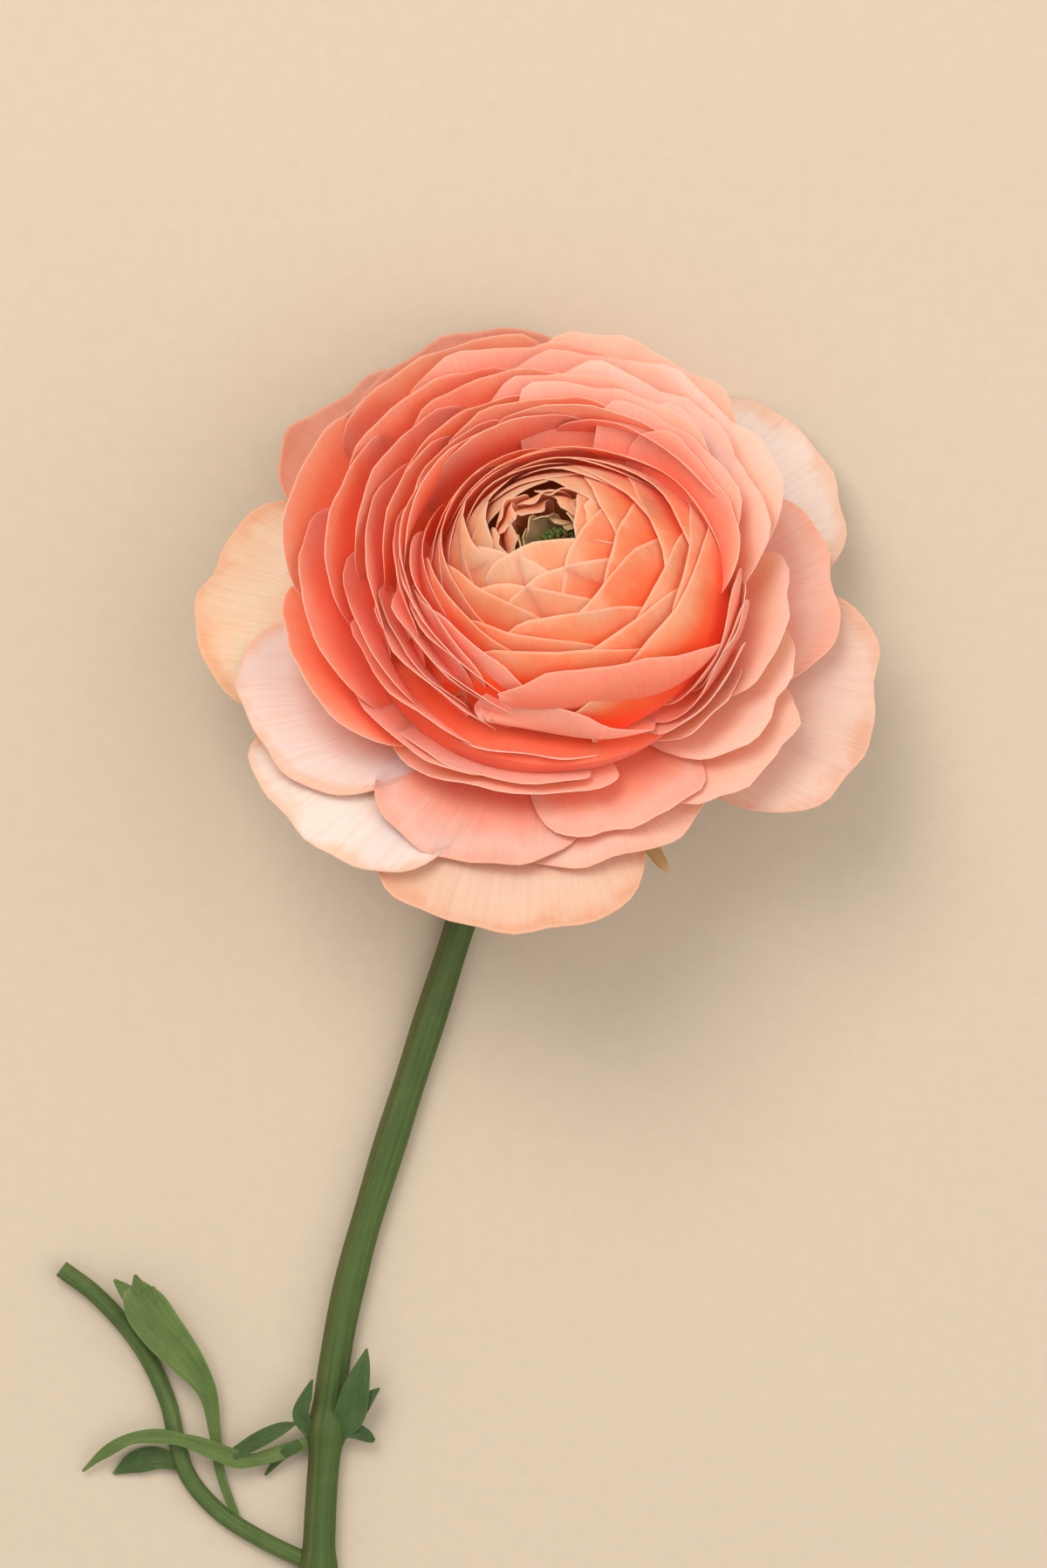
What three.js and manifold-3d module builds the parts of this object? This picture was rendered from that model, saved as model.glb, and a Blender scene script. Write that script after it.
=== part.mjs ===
// A cut ranunculus flower lying on its back, in millimetres, +Z up and resting on z = 0.
// The bloom faces up and a little towards +Y, its bent neck leads down to the surface,
// and the stem lies along the surface towards -Y, with a leafy node and a side shoot.
import * as THREE from "three";
import { mergeVertices } from "three/addons/utils/BufferGeometryUtils.js";
import Module from "manifold-3d";

const wasm = await Module();
wasm.setup();

// Driving dimensions of the bloom
const BLOOM_CENTRE = new THREE.Vector3(2.2, 19.0, 19.0); // middle of the receptacle's foot
const BLOOM_TILT = THREE.MathUtils.degToRad(32); // how far the axis leans from upright to +Y
const PETAL_THICKNESS = 0.64;
const CLAW_HALF_WIDTH = 2.2; // half the width of a petal where it grows from its ring
const GAP = 0.3; // clearance between neighbouring solids
const GOLDEN_TURN = 137.508; // degrees from one petal to the next, as they grow
const SHOULDER = 0.985; // how near to its flanks a petal keeps its length
const HIGHEST_FLANK = 0.995;
const SHORTEST_FLANK = 1.02; // a petal's flank, as a share of its claw's distance
const SCALLOP_RATE = 2.2;
const RIPPLE_RATE = 1.7;

const HEART = { petals: 18, radius: 21, innerRadius: 12.4, middle: 19.2, top: 14.2, innerTop: 12.0 };
const CUPS = { petals: 20, firstTurn: 145, innerRim: 20.9, outerRim: 37.2 };
const FRONT = { turn: -70, reach: 0.45 }; // the sector that the cups leave to the front petals
// How far the heart leans to +X, out to which radius, and between which heights.
const SWAY = { most: 4.7, full: 20, none: 37, foot: [2, 15], eye: [19, 34] };
const COLUMN = { radius: 2.6, foot: -3.8, top: 20 }; // the receptacle, up the bloom's axis
const EYE_RADIUS = 5.4; // the hollow that the carpels and stamens stand in
const CARPELS = { radius: 3.1, height: 3.4, middle: 23.9, bump: 0.06 };

// Driving dimensions of the stem and its side shoot
const STEM_RADIUS = 2.25;
const STEM_SIDES = 9;
const STEM_STEPS = 24;
const STEM_FLAT = 0.15; // how deep the underside is pressed flat where it lies
const STEM_NODES = [
  [-28.4, -92.6, 2.9],
  [-29.5, -112.5, 2.8],
]; // x, y and radius of the swellings that leaves grow from
const STEM_CUT = { x: -31, y: -122, turn: 0.5 }; // a block that takes the stem's end off at a slant
const SHOOT_RADIUS = 1.25;
const LEAF_THICKNESS = 0.7;
const REST = new THREE.Vector3(-20.4, -55.7, 0); // middle of the stem's resting spot

const { degToRad, lerp, smoothstep } = THREE.MathUtils;

// Numbers from 0 to 1 in a fixed order, so that every build draws the same petals.
function draws(seed) {
  let state = seed;
  return () => {
    state = (state * 1664525 + 1013904223) % 4294967296;
    return state / 4294967296;
  };
}

// A closed mesh as a solid, and back again.
function solidOf(geometry) {
  const plain = new THREE.BufferGeometry();
  plain.setAttribute("position", geometry.getAttribute("position"));
  plain.setIndex(geometry.index);
  const merged = mergeVertices(plain, 1e-4);
  const vertProperties = new Float32Array(merged.attributes.position.array);
  const triVerts = new Uint32Array(merged.index.array);
  return new wasm.Manifold(new wasm.Mesh({ numProp: 3, vertProperties, triVerts }));
}

function geometryOf(solid) {
  const { vertProperties, triVerts } = solid.getMesh();
  const geometry = new THREE.BufferGeometry();
  geometry.setAttribute("position", new THREE.BufferAttribute(vertProperties, 3));
  geometry.setIndex(new THREE.BufferAttribute(triVerts, 1));
  geometry.computeVertexNormals();
  return geometry;
}

// Joins solids into one body: scraps that hang loose are dropped and sealed hollows filled.
function fuse(solids) {
  return largest(solids.reduce((whole, next) => whole.add(next)));
}

function largest(solid) {
  return solid.decompose().reduce((a, b) => (b.volume() > a.volume() ? b : a));
}

// The petal's middle line in the plane of the bloom's axis: a cubic from root to tip.
function middleLine({ root, tip, out, end, reach }, samples = 32) {
  const chord = Math.hypot(tip[0] - root[0], tip[1] - root[1]);
  const from = degToRad(out);
  const to = degToRad(end);
  const curve = new THREE.CubicBezierCurve(
    new THREE.Vector2(root[0], root[1]),
    new THREE.Vector2(
      root[0] + reach[0] * chord * Math.cos(from),
      root[1] + reach[0] * chord * Math.sin(from),
    ),
    new THREE.Vector2(
      tip[0] - reach[1] * chord * Math.cos(to),
      tip[1] - reach[1] * chord * Math.sin(to),
    ),
    new THREE.Vector2(tip[0], tip[1]),
  );
  curve.arcLengthDivisions = samples;
  return curve;
}

// The lean of the heart: nothing at the foot, most at its widest, nothing at the eye.
function sway(radius, height) {
  const across = 1 - smoothstep(radius, SWAY.full, SWAY.none);
  const along = smoothstep(height, ...SWAY.foot) * (1 - smoothstep(height, ...SWAY.eye));
  return SWAY.most * across * along;
}

// A point of the petal's middle surface. side runs from -1 to 1 across the fan and
// along from 0 at the claw to 1 at the margin. The outline is a fan with rounded shoulders
// and a faint scallop; the blade hugs the bloom's axis and ripples towards its margin.
function petalPoint(petal, curve, length, side, along) {
  const fan = degToRad(petal.fan);
  const angle = side * fan;
  const set = petal.claw / Math.tan(fan);
  const flank = Math.min(Math.abs(side) * SHOULDER, HIGHEST_FLANK);
  const round = Math.pow(1 - Math.pow(flank, petal.blunt), petal.round);
  const scallop = 1 + petal.scallop * Math.sin(SCALLOP_RATE * petal.lobes * angle + petal.phase);
  const edge = (length + set) * round * scallop;
  const claw = set / Math.cos(angle);
  const distance = lerp(claw, Math.max(edge, claw * SHORTEST_FLANK), along);
  const x = distance * Math.sin(angle);
  const y = distance * Math.cos(angle) - set;

  const share = THREE.MathUtils.clamp(y / length, 0, 1);
  const middle = curve.getPointAt(share);
  const heading = curve.getTangentAt(share);
  const beyond = Math.max(y - length, 0);
  const radius = middle.x + heading.x * beyond;
  const height = middle.y + heading.y * beyond;
  const bend = (petal.hug * Math.max(heading.y, 0.02)) / Math.max(radius, 5);
  const swell = petal.wave * share * share * along;
  const ripple = swell * Math.sin(RIPPLE_RATE * petal.lobes * side + petal.phase);
  const depth = (1 - Math.cos(bend * x)) / bend + petal.lean * x * share + ripple;
  const reach = radius - depth * heading.y;
  const rise = height + depth * heading.x;
  const tangent = Math.sin(bend * x) / bend;

  const turn = degToRad(petal.turn);
  const px = reach * Math.cos(turn) - tangent * Math.sin(turn);
  const py = reach * Math.sin(turn) + tangent * Math.cos(turn);
  return new THREE.Vector3(px + sway(Math.hypot(px, py), rise), py, rise);
}

// A petal as a thin closed blade, with the same triangles on both faces. A grown one has
// clearance added on its faces and past its ends.
function petalSolid(petal, grown = 0) {
  const { columns, rows } = petal;
  const curve = middleLine(petal);
  const length = curve.getLength();
  const thickness = PETAL_THICKNESS + 2 * grown;
  const stations = Array.from({ length: rows + 1 }, (_, j) => lerp(petal.start, 1, j / rows));
  if (grown > 0) {
    stations.unshift(petal.start - 0.05);
    stations.push(1 + (1.5 * grown) / length);
  }
  const at = (i, along) => petalPoint(petal, curve, length, (2 * i) / columns - 1, along);
  const step = 0.01;
  const points = [];
  for (const along of stations) {
    for (let i = 0; i <= columns; i++) {
      const here = at(i, along);
      const across = at(i + step, along).sub(at(i - step, along));
      const up = at(i, along + step).sub(at(i, along - step));
      const normal = across.cross(up).normalize().multiplyScalar(thickness / 2);
      points.push(here.clone().add(normal), here.clone().sub(normal));
    }
  }
  return bladeSolid(points, columns, stations.length - 1);
}

// A closed blade from a grid of point pairs, upper face first, row by row.
function bladeSolid(points, columns, rows) {
  const index = (i, j, face) => 2 * (j * (columns + 1) + i) + face;
  const triangles = [];
  const quad = (a, b, c, d) => triangles.push(a, b, c, a, c, d);
  for (let j = 0; j < rows; j++) {
    for (let i = 0; i < columns; i++) {
      quad(index(i, j, 0), index(i + 1, j, 0), index(i + 1, j + 1, 0), index(i, j + 1, 0));
      triangles.push(index(i, j, 1), index(i + 1, j + 1, 1), index(i + 1, j, 1));
      triangles.push(index(i, j, 1), index(i, j + 1, 1), index(i + 1, j + 1, 1));
    }
  }
  for (let i = 0; i < columns; i++) {
    quad(index(i, 0, 1), index(i + 1, 0, 1), index(i + 1, 0, 0), index(i, 0, 0));
    quad(index(i, rows, 0), index(i + 1, rows, 0), index(i + 1, rows, 1), index(i, rows, 1));
  }
  for (let j = 0; j < rows; j++) {
    quad(index(0, j, 0), index(0, j + 1, 0), index(0, j + 1, 1), index(0, j, 1));
    quad(index(columns, j, 1), index(columns, j + 1, 1), index(columns, j + 1, 0), index(columns, j, 0));
  }
  const geometry = new THREE.BufferGeometry();
  const flat = new Float32Array(points.flatMap((p) => [p.x, p.y, p.z]));
  geometry.setAttribute("position", new THREE.BufferAttribute(flat, 3));
  geometry.setIndex(triangles);
  return solidOf(geometry);
}

// Values that a petal has unless its whorl says otherwise.
const PLAIN_PETAL = {
  claw: CLAW_HALF_WIDTH,
  out: 5,
  end: 90,
  reach: [0.5, 0.5],
  fan: 27,
  hug: 0.9,
  lean: 0.05,
  wave: 0.3,
  scallop: 0.01,
  lobes: 3,
  phase: 0,
  blunt: 3.4,
  round: 0.4,
  start: 0.3, // the blade is solid from this share of its length on, below lies the core
  columns: 5,
  rows: 3,
};

// The heart: incurved petals wound round the eye, each next one larger and ending lower.
function heartPetals() {
  const draw = draws(3);
  return Array.from({ length: HEART.petals }, (_, n) => {
    const age = n / (HEART.petals - 1);
    const radius = lerp(HEART.innerRadius, HEART.radius, Math.pow(age, 0.85));
    const top = lerp(HEART.innerTop, HEART.top, Math.sqrt(age));
    const close = degToRad(lerp(161, 110, age) + 4 * (draw() - 0.5));
    return {
      ...PLAIN_PETAL,
      turn: n * GOLDEN_TURN + 10 * (draw() - 0.5),
      root: [4.2, 9.5 - 2 * age],
      tip: [radius * Math.sin(close), HEART.middle - top * Math.cos(close)],
      out: -8,
      end: THREE.MathUtils.radToDeg(close) + 4,
      reach: [lerp(1.02, 0.95, age), lerp(0.62, 0.42, age)],
      fan: lerp(13, 25, age),
      hug: 0.97,
      lean: 0.03,
      wave: 0.05,
      phase: 6 * draw(),
      start: 0.62,
      columns: 4,
      rows: 3,
    };
  });
}

// The cups: wide petals nested round the heart, steep at the back and left and opening
// step by step to the sides. The front of the whorls is set petal by petal below.
function cupPetals() {
  const draw = draws(29);
  const petals = Array.from({ length: CUPS.petals }, (_, n) => {
    const age = n / (CUPS.petals - 1);
    const turn = CUPS.firstTurn + n * GOLDEN_TURN + 10 * (draw() - 0.5);
    const open = (1 - Math.sin(degToRad(turn))) / 2;
    const left = -Math.cos(degToRad(turn));
    const rim = lerp(CUPS.innerRim, CUPS.outerRim + 0.6 * left, age) + open * lerp(4, -1.5, age);
    const height = lerp(lerp(27.5, 24.2, age), lerp(20, 3, age), open);
    return {
      ...PLAIN_PETAL,
      turn,
      root: [5, 6 - 6 * age],
      tip: [rim, height + 0.6 * (draw() - 0.5)],
      out: 0,
      end: lerp(lerp(112, 82, age), lerp(112, 15, age), open),
      reach: [lerp(0.8, 0.5, age), lerp(0.6, 0.45, age)],
      fan: 27 + 4 * (draw() - 0.5),
      hug: lerp(0.95, 0.85, age),
      lean: 0.02,
      wave: 0.1,
      phase: 6 * draw(),
      start: lerp(0.5, 0.4, age),
    };
  });
  return petals.filter(({ turn }) => Math.cos(degToRad(turn - FRONT.turn)) < FRONT.reach);
}

// The lowest whorl, pale and almost flat, each petal set by its turn, reach and height.
function guardPetals() {
  const places = [
    { turn: 169, root: [5, -1.2], tip: [48.2, 2.6], fan: 38, end: 8 },
    { turn: 201, root: [5, -0.4], tip: [43.2, 5.6], fan: 35, end: 14 },
    { turn: 223, root: [5, -0.8], tip: [46, 3], fan: 35, end: 8 },
    { turn: 253, root: [5, -0.2], tip: [38.8, 3.8], fan: 38, end: 12 },
    { turn: 263, root: [5, -1.3], tip: [47, 1], fan: 41, end: 0 },
    { turn: 288, root: [5, -0.5], tip: [38.6, 3], fan: 40, end: 10 },
    { turn: 346, root: [5, -1.3], tip: [48.5, 0], fan: 38, end: 0 },
    { turn: 14, root: [5, 0], tip: [42.5, 6], fan: 36, end: 20 },
    { turn: 41, root: [5, -0.9], tip: [50.3, 3.45], fan: 35, end: -4 },
    { turn: 99, root: [5, -0.2], tip: [47.4, 10], fan: 33, end: 30 },
    { turn: 127, root: [5, -0.3], tip: [46.8, 4.52], fan: 33, end: 12 },
  ];
  return places.map((place, n) => ({
    ...PLAIN_PETAL,
    out: 2,
    reach: [0.4, 0.4],
    hug: 0.6,
    lean: 0.02,
    wave: 0.8,
    start: 0.3,
    phase: 1.7 * n,
    columns: 5,
    ...place,
  }));
}

// Petals of the front, set one by one where the whorls open: incurved crescents under the
// heart, shells that lie open below them, and tall petals that overlap at the right.
function frontPetals() {
  const places = [
    { turn: -66, tip: [24.4, 21.4], end: 104, fan: 25, reach: [0.75, 0.3] },
    { turn: -30, tip: [25.2, 21], end: 104, fan: 25, reach: [0.75, 0.3] },
    { turn: -94, tip: [26, 20], end: 96, fan: 26, reach: [0.7, 0.25] },
    { turn: -50, tip: [28.2, 16.6], end: 84, fan: 26, reach: [0.65, 0.3] },
    { turn: -104, tip: [28, 13], end: 58, fan: 29, reach: [0.6, 0.3] },
    { turn: -72, tip: [30.4, 10.6], end: 42, fan: 27, reach: [0.6, 0.3] },
    { turn: -36, tip: [32, 11.6], end: 50, fan: 27, reach: [0.6, 0.3] },
    { turn: -14, tip: [34.6, 11], end: 44, fan: 28, reach: [0.55, 0.3] },
    { turn: -114, tip: [31.4, 9], end: 34, fan: 28, reach: [0.55, 0.3] },
    { turn: -90, tip: [32.4, 6.8], end: 22, fan: 31, reach: [0.55, 0.3] },
    { turn: -30, tip: [38.4, 7], end: 22, fan: 28, reach: [0.55, 0.3] },
    { turn: -66, tip: [36.4, 5.4], end: 12, fan: 28, reach: [0.5, 0.3] },
  ];
  return places.map((place, n) => ({
    ...PLAIN_PETAL,
    root: [5, 5 - 0.35 * n],
    out: 0,
    hug: 0.8,
    wave: 0.3,
    phase: 1.3 * n,
    start: 0.45,
    ...place,
  }));
}

// A solid of revolution about the bloom's axis, from points of radius and height, leaning
// with the heart. The profile closes on itself, or starts and ends on the axis.
function turnedGeometry(profile, sides = 16) {
  const points = profile.map(([radius, height]) => new THREE.Vector2(radius, height));
  const geometry = new THREE.LatheGeometry(points, sides);
  geometry.rotateX(Math.PI / 2);
  const spots = geometry.getAttribute("position");
  for (let i = 0; i < spots.count; i++) {
    const radius = Math.hypot(spots.getX(i), spots.getY(i));
    spots.setX(i, spots.getX(i) + sway(radius, spots.getZ(i)));
  }
  return geometry;
}

const turned = (profile) => solidOf(turnedGeometry(profile));

const BORE = COLUMN.radius + GAP;

// The heart's core is smaller than its petals and open at the eye.
const HEART_CORE = [
  [BORE, 7.2],
  [9.6, 7.2],
  [17.4, 11.6],
  [19.3, 16.5],
  [18.6, 20.5],
  [15.5, 25.4],
  [10.5, 28.4],
  [6.4, 29.4],
  [EYE_RADIUS, 28.6],
  [EYE_RADIUS, 20],
  [BORE, 20],
  [BORE, 16],
  [BORE, 13],
  [BORE, 10],
  [BORE, 7.2],
];

// The cups grow from a shallow bowl under the heart.
const CUP_CORE = [
  [BORE, 0.6],
  [9, 0.6],
  [18, 1.6],
  [24.6, 5.6],
  [25.6, 9.6],
  [22.4, 10.4],
  [16.5, 7],
  [BORE, 6.8],
  [BORE, 4],
  [BORE, 0.6],
];

// The guard petals grow from a flat ring under the cups.
const GUARD_CORE = [
  [BORE, -1.7],
  [8, -1.7],
  [13, -0.8],
  [13, 0.1],
  [BORE, 0.2],
  [BORE, -1.7],
];

// The carpels: a blunt dome of small round grains, at the bottom of the eye.
function carpelHead() {
  const grains = new THREE.SphereGeometry(1, 16, 10);
  grains.rotateX(Math.PI / 2);
  const spots = grains.getAttribute("position");
  const spot = new THREE.Vector3();
  for (let i = 0; i < spots.count; i++) {
    spot.fromBufferAttribute(spots, i);
    const turn = Math.atan2(spot.y, spot.x);
    const bump = 1 + CARPELS.bump * Math.sin(9 * turn) * Math.sin(8 * Math.acos(spot.z));
    const height = CARPELS.middle + bump * CARPELS.height * spot.z;
    const reach = bump * CARPELS.radius;
    spots.setXYZ(i, reach * spot.x + sway(0, height), reach * spot.y, height);
  }
  return solidOf(grains);
}

// The stamens: small dry curled blades on a ring round the carpels.
function stamens() {
  const draw = draws(5);
  const ring = turned([
    [3.7, 20.3],
    [5.1, 20.3],
    [5.1, 21.6],
    [3.7, 21.6],
    [3.7, 20.3],
  ]);
  const blades = Array.from({ length: 7 }, (_, n) => {
    return petalSolid({
      ...PLAIN_PETAL,
      turn: 51 * n + 12 * (draw() - 0.5),
      root: [4.4, 20.6],
      tip: [3.7 - 0.6 * draw(), 26 + 1.6 * draw()],
      out: 88,
      end: 105 + 30 * draw(),
      reach: [0.4, 0.4],
      fan: 16,
      claw: 0.7,
      hug: 0.9,
      lean: 0,
      wave: 0,
      start: 0.02,
      columns: 2,
      rows: 3,
    });
  });
  return fuse([ring, ...blades]);
}

// The sepals: narrow dry blades pressed to the backs of the guard petals.
function sepals() {
  const ring = turned([
    [BORE, -3.6],
    [4.6, -3.6],
    [5.6, -2.0],
    [BORE, -2.0],
    [BORE, -3.6],
  ]);
  const places = [
    { turn: 297, tip: [39.5, -3.2], fan: 5 },
    { turn: 331, tip: [33.5, -3.4], fan: 7 },
    { turn: 60, tip: [19, -7], fan: 12 },
    { turn: 145, tip: [20, -7], fan: 12 },
    { turn: 220, tip: [21, -6], fan: 12 },
  ];
  const blades = places.map((place) =>
    petalSolid({
      ...PLAIN_PETAL,
      root: [4, -2.9],
      out: -8,
      end: 6,
      reach: [0.4, 0.4],
      claw: 1.6,
      hug: 0.3,
      lean: 0,
      wave: 0,
      blunt: 2,
      round: 0.8,
      start: 0.02,
      columns: 2,
      rows: 4,
      ...place,
    }),
  );
  return largest(fuse([ring, ...blades]).subtract(roomOf(guardPetals(), GUARD_CORE)));
}

// A round stalk along a smooth curve through points.
function stalk(points, radius, sides, steps) {
  const section = new THREE.Shape();
  for (let i = 0; i < sides; i++) {
    const angle = ((i + 0.5) / sides) * 2 * Math.PI;
    const corner = [radius * Math.cos(angle), radius * Math.sin(angle)];
    if (i === 0) section.moveTo(...corner);
    else section.lineTo(...corner);
  }
  section.closePath();
  const extrudePath = new THREE.CatmullRomCurve3(points, false, "centripetal");
  return solidOf(new THREE.ExtrudeGeometry(section, { steps, bevelEnabled: false, extrudePath }));
}

// A thin blade along a line of stations, each with its place, its half width and how far
// its edges turn up. The blade is folded a little along its middle.
function leafBlade(stations) {
  const columns = 2;
  const points = [];
  stations.forEach(([x, y, z, halfWidth, fold], j) => {
    const before = stations[Math.max(j - 1, 0)];
    const after = stations[Math.min(j + 1, stations.length - 1)];
    const along = new THREE.Vector3(after[0] - before[0], after[1] - before[1], 0).normalize();
    const across = new THREE.Vector3(along.y, -along.x, 0);
    for (let i = 0; i <= columns; i++) {
      const side = (2 * i) / columns - 1;
      const lift = fold * Math.abs(side) * halfWidth;
      const spot = new THREE.Vector3(x, y, z + lift).addScaledVector(across, side * halfWidth);
      points.push(spot.clone().setZ(spot.z + LEAF_THICKNESS / 2));
      points.push(spot.clone().setZ(spot.z - LEAF_THICKNESS / 2));
    }
  });
  return bladeSolid(points, columns, stations.length - 1);
}

function meshOf(name, solid, color, roughness) {
  const material = new THREE.MeshStandardMaterial({ color, roughness, metalness: 0 });
  const mesh = new THREE.Mesh(geometryOf(solid), material);
  mesh.name = name;
  return mesh;
}

// The room that a whorl takes up with clearance all round, which its neighbour keeps out of.
function roomOf(petals, core) {
  const blades = petals.map((petal) => petalSolid(petal, GAP));
  const grown = [-GAP, GAP].map((rise) => turned(core.map(([r, h]) => [r + GAP, h + rise])));
  return [...blades, ...grown].reduce((whole, next) => whole.add(next));
}

const bloom = new THREE.Group();
bloom.position.copy(BLOOM_CENTRE);
bloom.rotation.x = -BLOOM_TILT;
bloom.updateMatrix();
const inner = heartPetals();
const wide = [...cupPetals(), ...frontPetals()];
const pale = guardPetals();
const blades = (petals) => petals.map((petal) => petalSolid(petal));
const heart = fuse([turned(HEART_CORE), ...blades(inner)]);
const cups = largest(fuse([turned(CUP_CORE), ...blades(wide)]).subtract(roomOf(inner, HEART_CORE)));
const guards = largest(fuse([turned(GUARD_CORE), ...blades(pale)]).subtract(roomOf(wide, CUP_CORE)));
bloom.add(
  meshOf("heart_petals", heart, 0xf2a27e, 0.6),
  meshOf("cup_petals", cups, 0xe8705a, 0.6),
  meshOf("guard_petals", guards, 0xf2d2bc, 0.6),
  meshOf("carpel_head", carpelHead(), 0x5f5a2c, 0.8),
  meshOf("stamens", stamens(), 0xa08050, 0.8),
  meshOf("sepals", sepals(), 0xb49a6a, 0.8),
);

// Everything below rests on the surface: what reaches under it is pressed flat.
function pressedFlat(solid) {
  const ground = new THREE.BoxGeometry(400, 400, 20);
  ground.translate(0, 0, -10);
  return solid.subtract(solidOf(ground));
}

const LOW = STEM_RADIUS - STEM_FLAT; // height of the lying stem's middle line
const columnSide = [COLUMN.foot, 0.6, 4, 6.8, 10, 13, 16, COLUMN.top];
const column = turnedGeometry([
  [0, COLUMN.foot],
  ...columnSide.map((height) => [COLUMN.radius, height]),
  [0, COLUMN.top],
]).applyMatrix4(bloom.matrix);
const stemLine = [
  [2.2, 17.9, 17.3],
  [2.2, 15.8, 13.9],
  [-0.4, 6.9, 5.3],
  [-4.5, -5.4, LOW],
  [-9.1, -20.2, LOW],
  [-14.8, -38, LOW],
  [-20.4, -55.7, LOW],
  [-24, -68, LOW],
  [-26.7, -80.4, LOW],
  [-28.8, -99.2, LOW],
  [-29.8, -119.2, LOW],
].map((p) => new THREE.Vector3(...p));
const joint = ([x, y, radius]) => {
  const ball = new THREE.SphereGeometry(radius, 8, 6);
  ball.translate(x, y, LOW);
  return solidOf(ball);
};
const stemRoom = [
  stalk(stemLine, STEM_RADIUS + GAP, STEM_SIDES, STEM_STEPS),
  ...STEM_NODES.map(([x, y, radius]) => joint([x, y, radius + GAP])),
].reduce((whole, next) => whole.add(next));
const besideStem = (leaf) => largest(leaf.subtract(stemRoom));
const cutEnd = new THREE.BoxGeometry(20, 10, 20);
cutEnd.rotateZ(STEM_CUT.turn);
cutEnd.translate(STEM_CUT.x, STEM_CUT.y, 0);
const stem = pressedFlat(
  fuse([
    stalk(stemLine, STEM_RADIUS, STEM_SIDES, STEM_STEPS),
    solidOf(column),
    ...STEM_NODES.map(joint),
  ]),
).subtract(solidOf(cutEnd));

// The bract leaf at the right of the upper node: a base and three pointed lobes.
function rightBract() {
  return fuse([
    leafBlade([
      [-26.6, -93.4, 3.2, 1.2, 0.1],
      [-24.9, -90.4, 4.4, 2.2, 0.3],
      [-23.9, -86.4, 5.4, 1.9, 0.3],
      [-22.9, -82.9, 6, 1.0, 0.2],
      [-22.4, -80.7, 6.2, 0.15, 0],
    ]),
    leafBlade([
      [-25.2, -91.4, 4, 1.3, 0.2],
      [-23.4, -89.2, 4.6, 1.3, 0.2],
      [-21.9, -87.6, 4.8, 0.8, 0.2],
      [-20.6, -86.5, 4.8, 0.15, 0],
    ]),
    leafBlade([
      [-25.2, -92.4, 3.8, 1.2, 0.1],
      [-23.6, -92.9, 3.6, 1.1, 0.1],
      [-22.2, -93.7, 3.2, 0.8, 0.1],
      [-21.4, -94.3, 3, 0.3, 0],
    ]),
  ]);
}

// The small upright bract at the left of the upper node.
function leftBract() {
  return leafBlade([
    [-30.4, -93.2, 3.2, 0.9, 0.1],
    [-31.9, -90.4, 4.2, 1.2, 0.3],
    [-31, -87.4, 5, 0.8, 0.2],
    [-30.2, -85.2, 5.4, 0.15, 0],
  ]);
}

// The divided leaf that trails to the left of the upper node: a long pale lobe and two
// narrow dark ones that cross it.
function trailingLeaf() {
  return fuse([
    leafBlade([
      [-30.2, -94.2, 2.2, 1.0, 0],
      [-36, -96.3, 2.6, 1.1, 0.1],
      [-40.2, -97, 3.4, 1.2, 0.1],
      [-43.3, -95.9, 3.9, 1.5, 0.2],
      [-47.5, -94.3, 4.2, 1.1, 0.2],
      [-51.3, -93.5, 4.2, 1.1, 0.2],
      [-56.1, -93.8, 3.6, 1.0, 0.2],
      [-60.4, -96.2, 2.4, 0.8, 0.1],
      [-63.4, -98.8, 1.2, 0.2, 0],
    ]),
    leafBlade([
      [-41.8, -96.2, 3.6, 0.8, 0.1],
      [-38, -94, 3.8, 1.2, 0.2],
      [-34.6, -92.3, 3.8, 0.9, 0.2],
      [-32.6, -91.6, 4, 0.2, 0],
    ]),
    leafBlade([
      [-32.2, -94.4, 2.9, 0.6, 0.1],
      [-33.6, -95.4, 2.9, 0.7, 0.1],
      [-35.4, -97.2, 2, 0.6, 0.1],
      [-37.2, -99.4, 1, 0.2, 0],
    ]),
  ]);
}

// The side shoot: a bent stalk from the lower node with a wedge-shaped, toothed leaf and a
// small dark one.
function sideShoot() {
  const line = [
    [-29.8, -112.2, 1.8],
    [-37.5, -108.6, 1.5],
    [-44, -104.4, 1.2],
    [-48.2, -99.4, 1.2],
    [-49.8, -94.6, 1.2],
    [-51.2, -88.6, 1.2],
    [-55, -80.8, 1.4],
    [-61.3, -73.5, 1.6],
    [-66.4, -69.6, 1.8],
  ].map((p) => new THREE.Vector3(...p));
  const wedge = leafBlade([
    [-41.4, -105.2, 1.2, 0.6, 0.1],
    [-43.6, -98.8, 1.4, 0.7, 0.1],
    [-44.4, -92.6, 1.8, 0.9, 0.1],
    [-45.4, -87.1, 2.8, 1.4, 0.2],
    [-48.2, -82.6, 3.8, 2.4, 0.2],
    [-51.8, -78.2, 4.4, 3.1, 0.2],
    [-54.4, -74.4, 4.8, 3.0, 0.2],
    [-56, -71.8, 5, 1.6, 0.2],
  ]);
  const teeth = [
    [-52.9, -71.9],
    [-55.6, -70.2],
    [-58.6, -70.9],
  ].map(([x, y]) =>
    leafBlade([
      [-54.2, -75.2, 4.7, 1.2, 0.2],
      [lerp(-54.2, x, 0.6), lerp(-75.2, y, 0.6), 5, 1.1, 0.2],
      [x, y, 5.2, 0.2, 0],
    ]),
  );
  const low = leafBlade([
    [-49.4, -98, 1.4, 0.7, 0.1],
    [-52.4, -96.9, 1.2, 1.6, 0.1],
    [-55.6, -97.4, 0.9, 1.7, 0.1],
    [-59, -99.2, 0.6, 0.2, 0],
  ]);
  return pressedFlat(fuse([stalk(line, SHOOT_RADIUS, 6, 16), wedge, low, ...teeth]));
}

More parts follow.
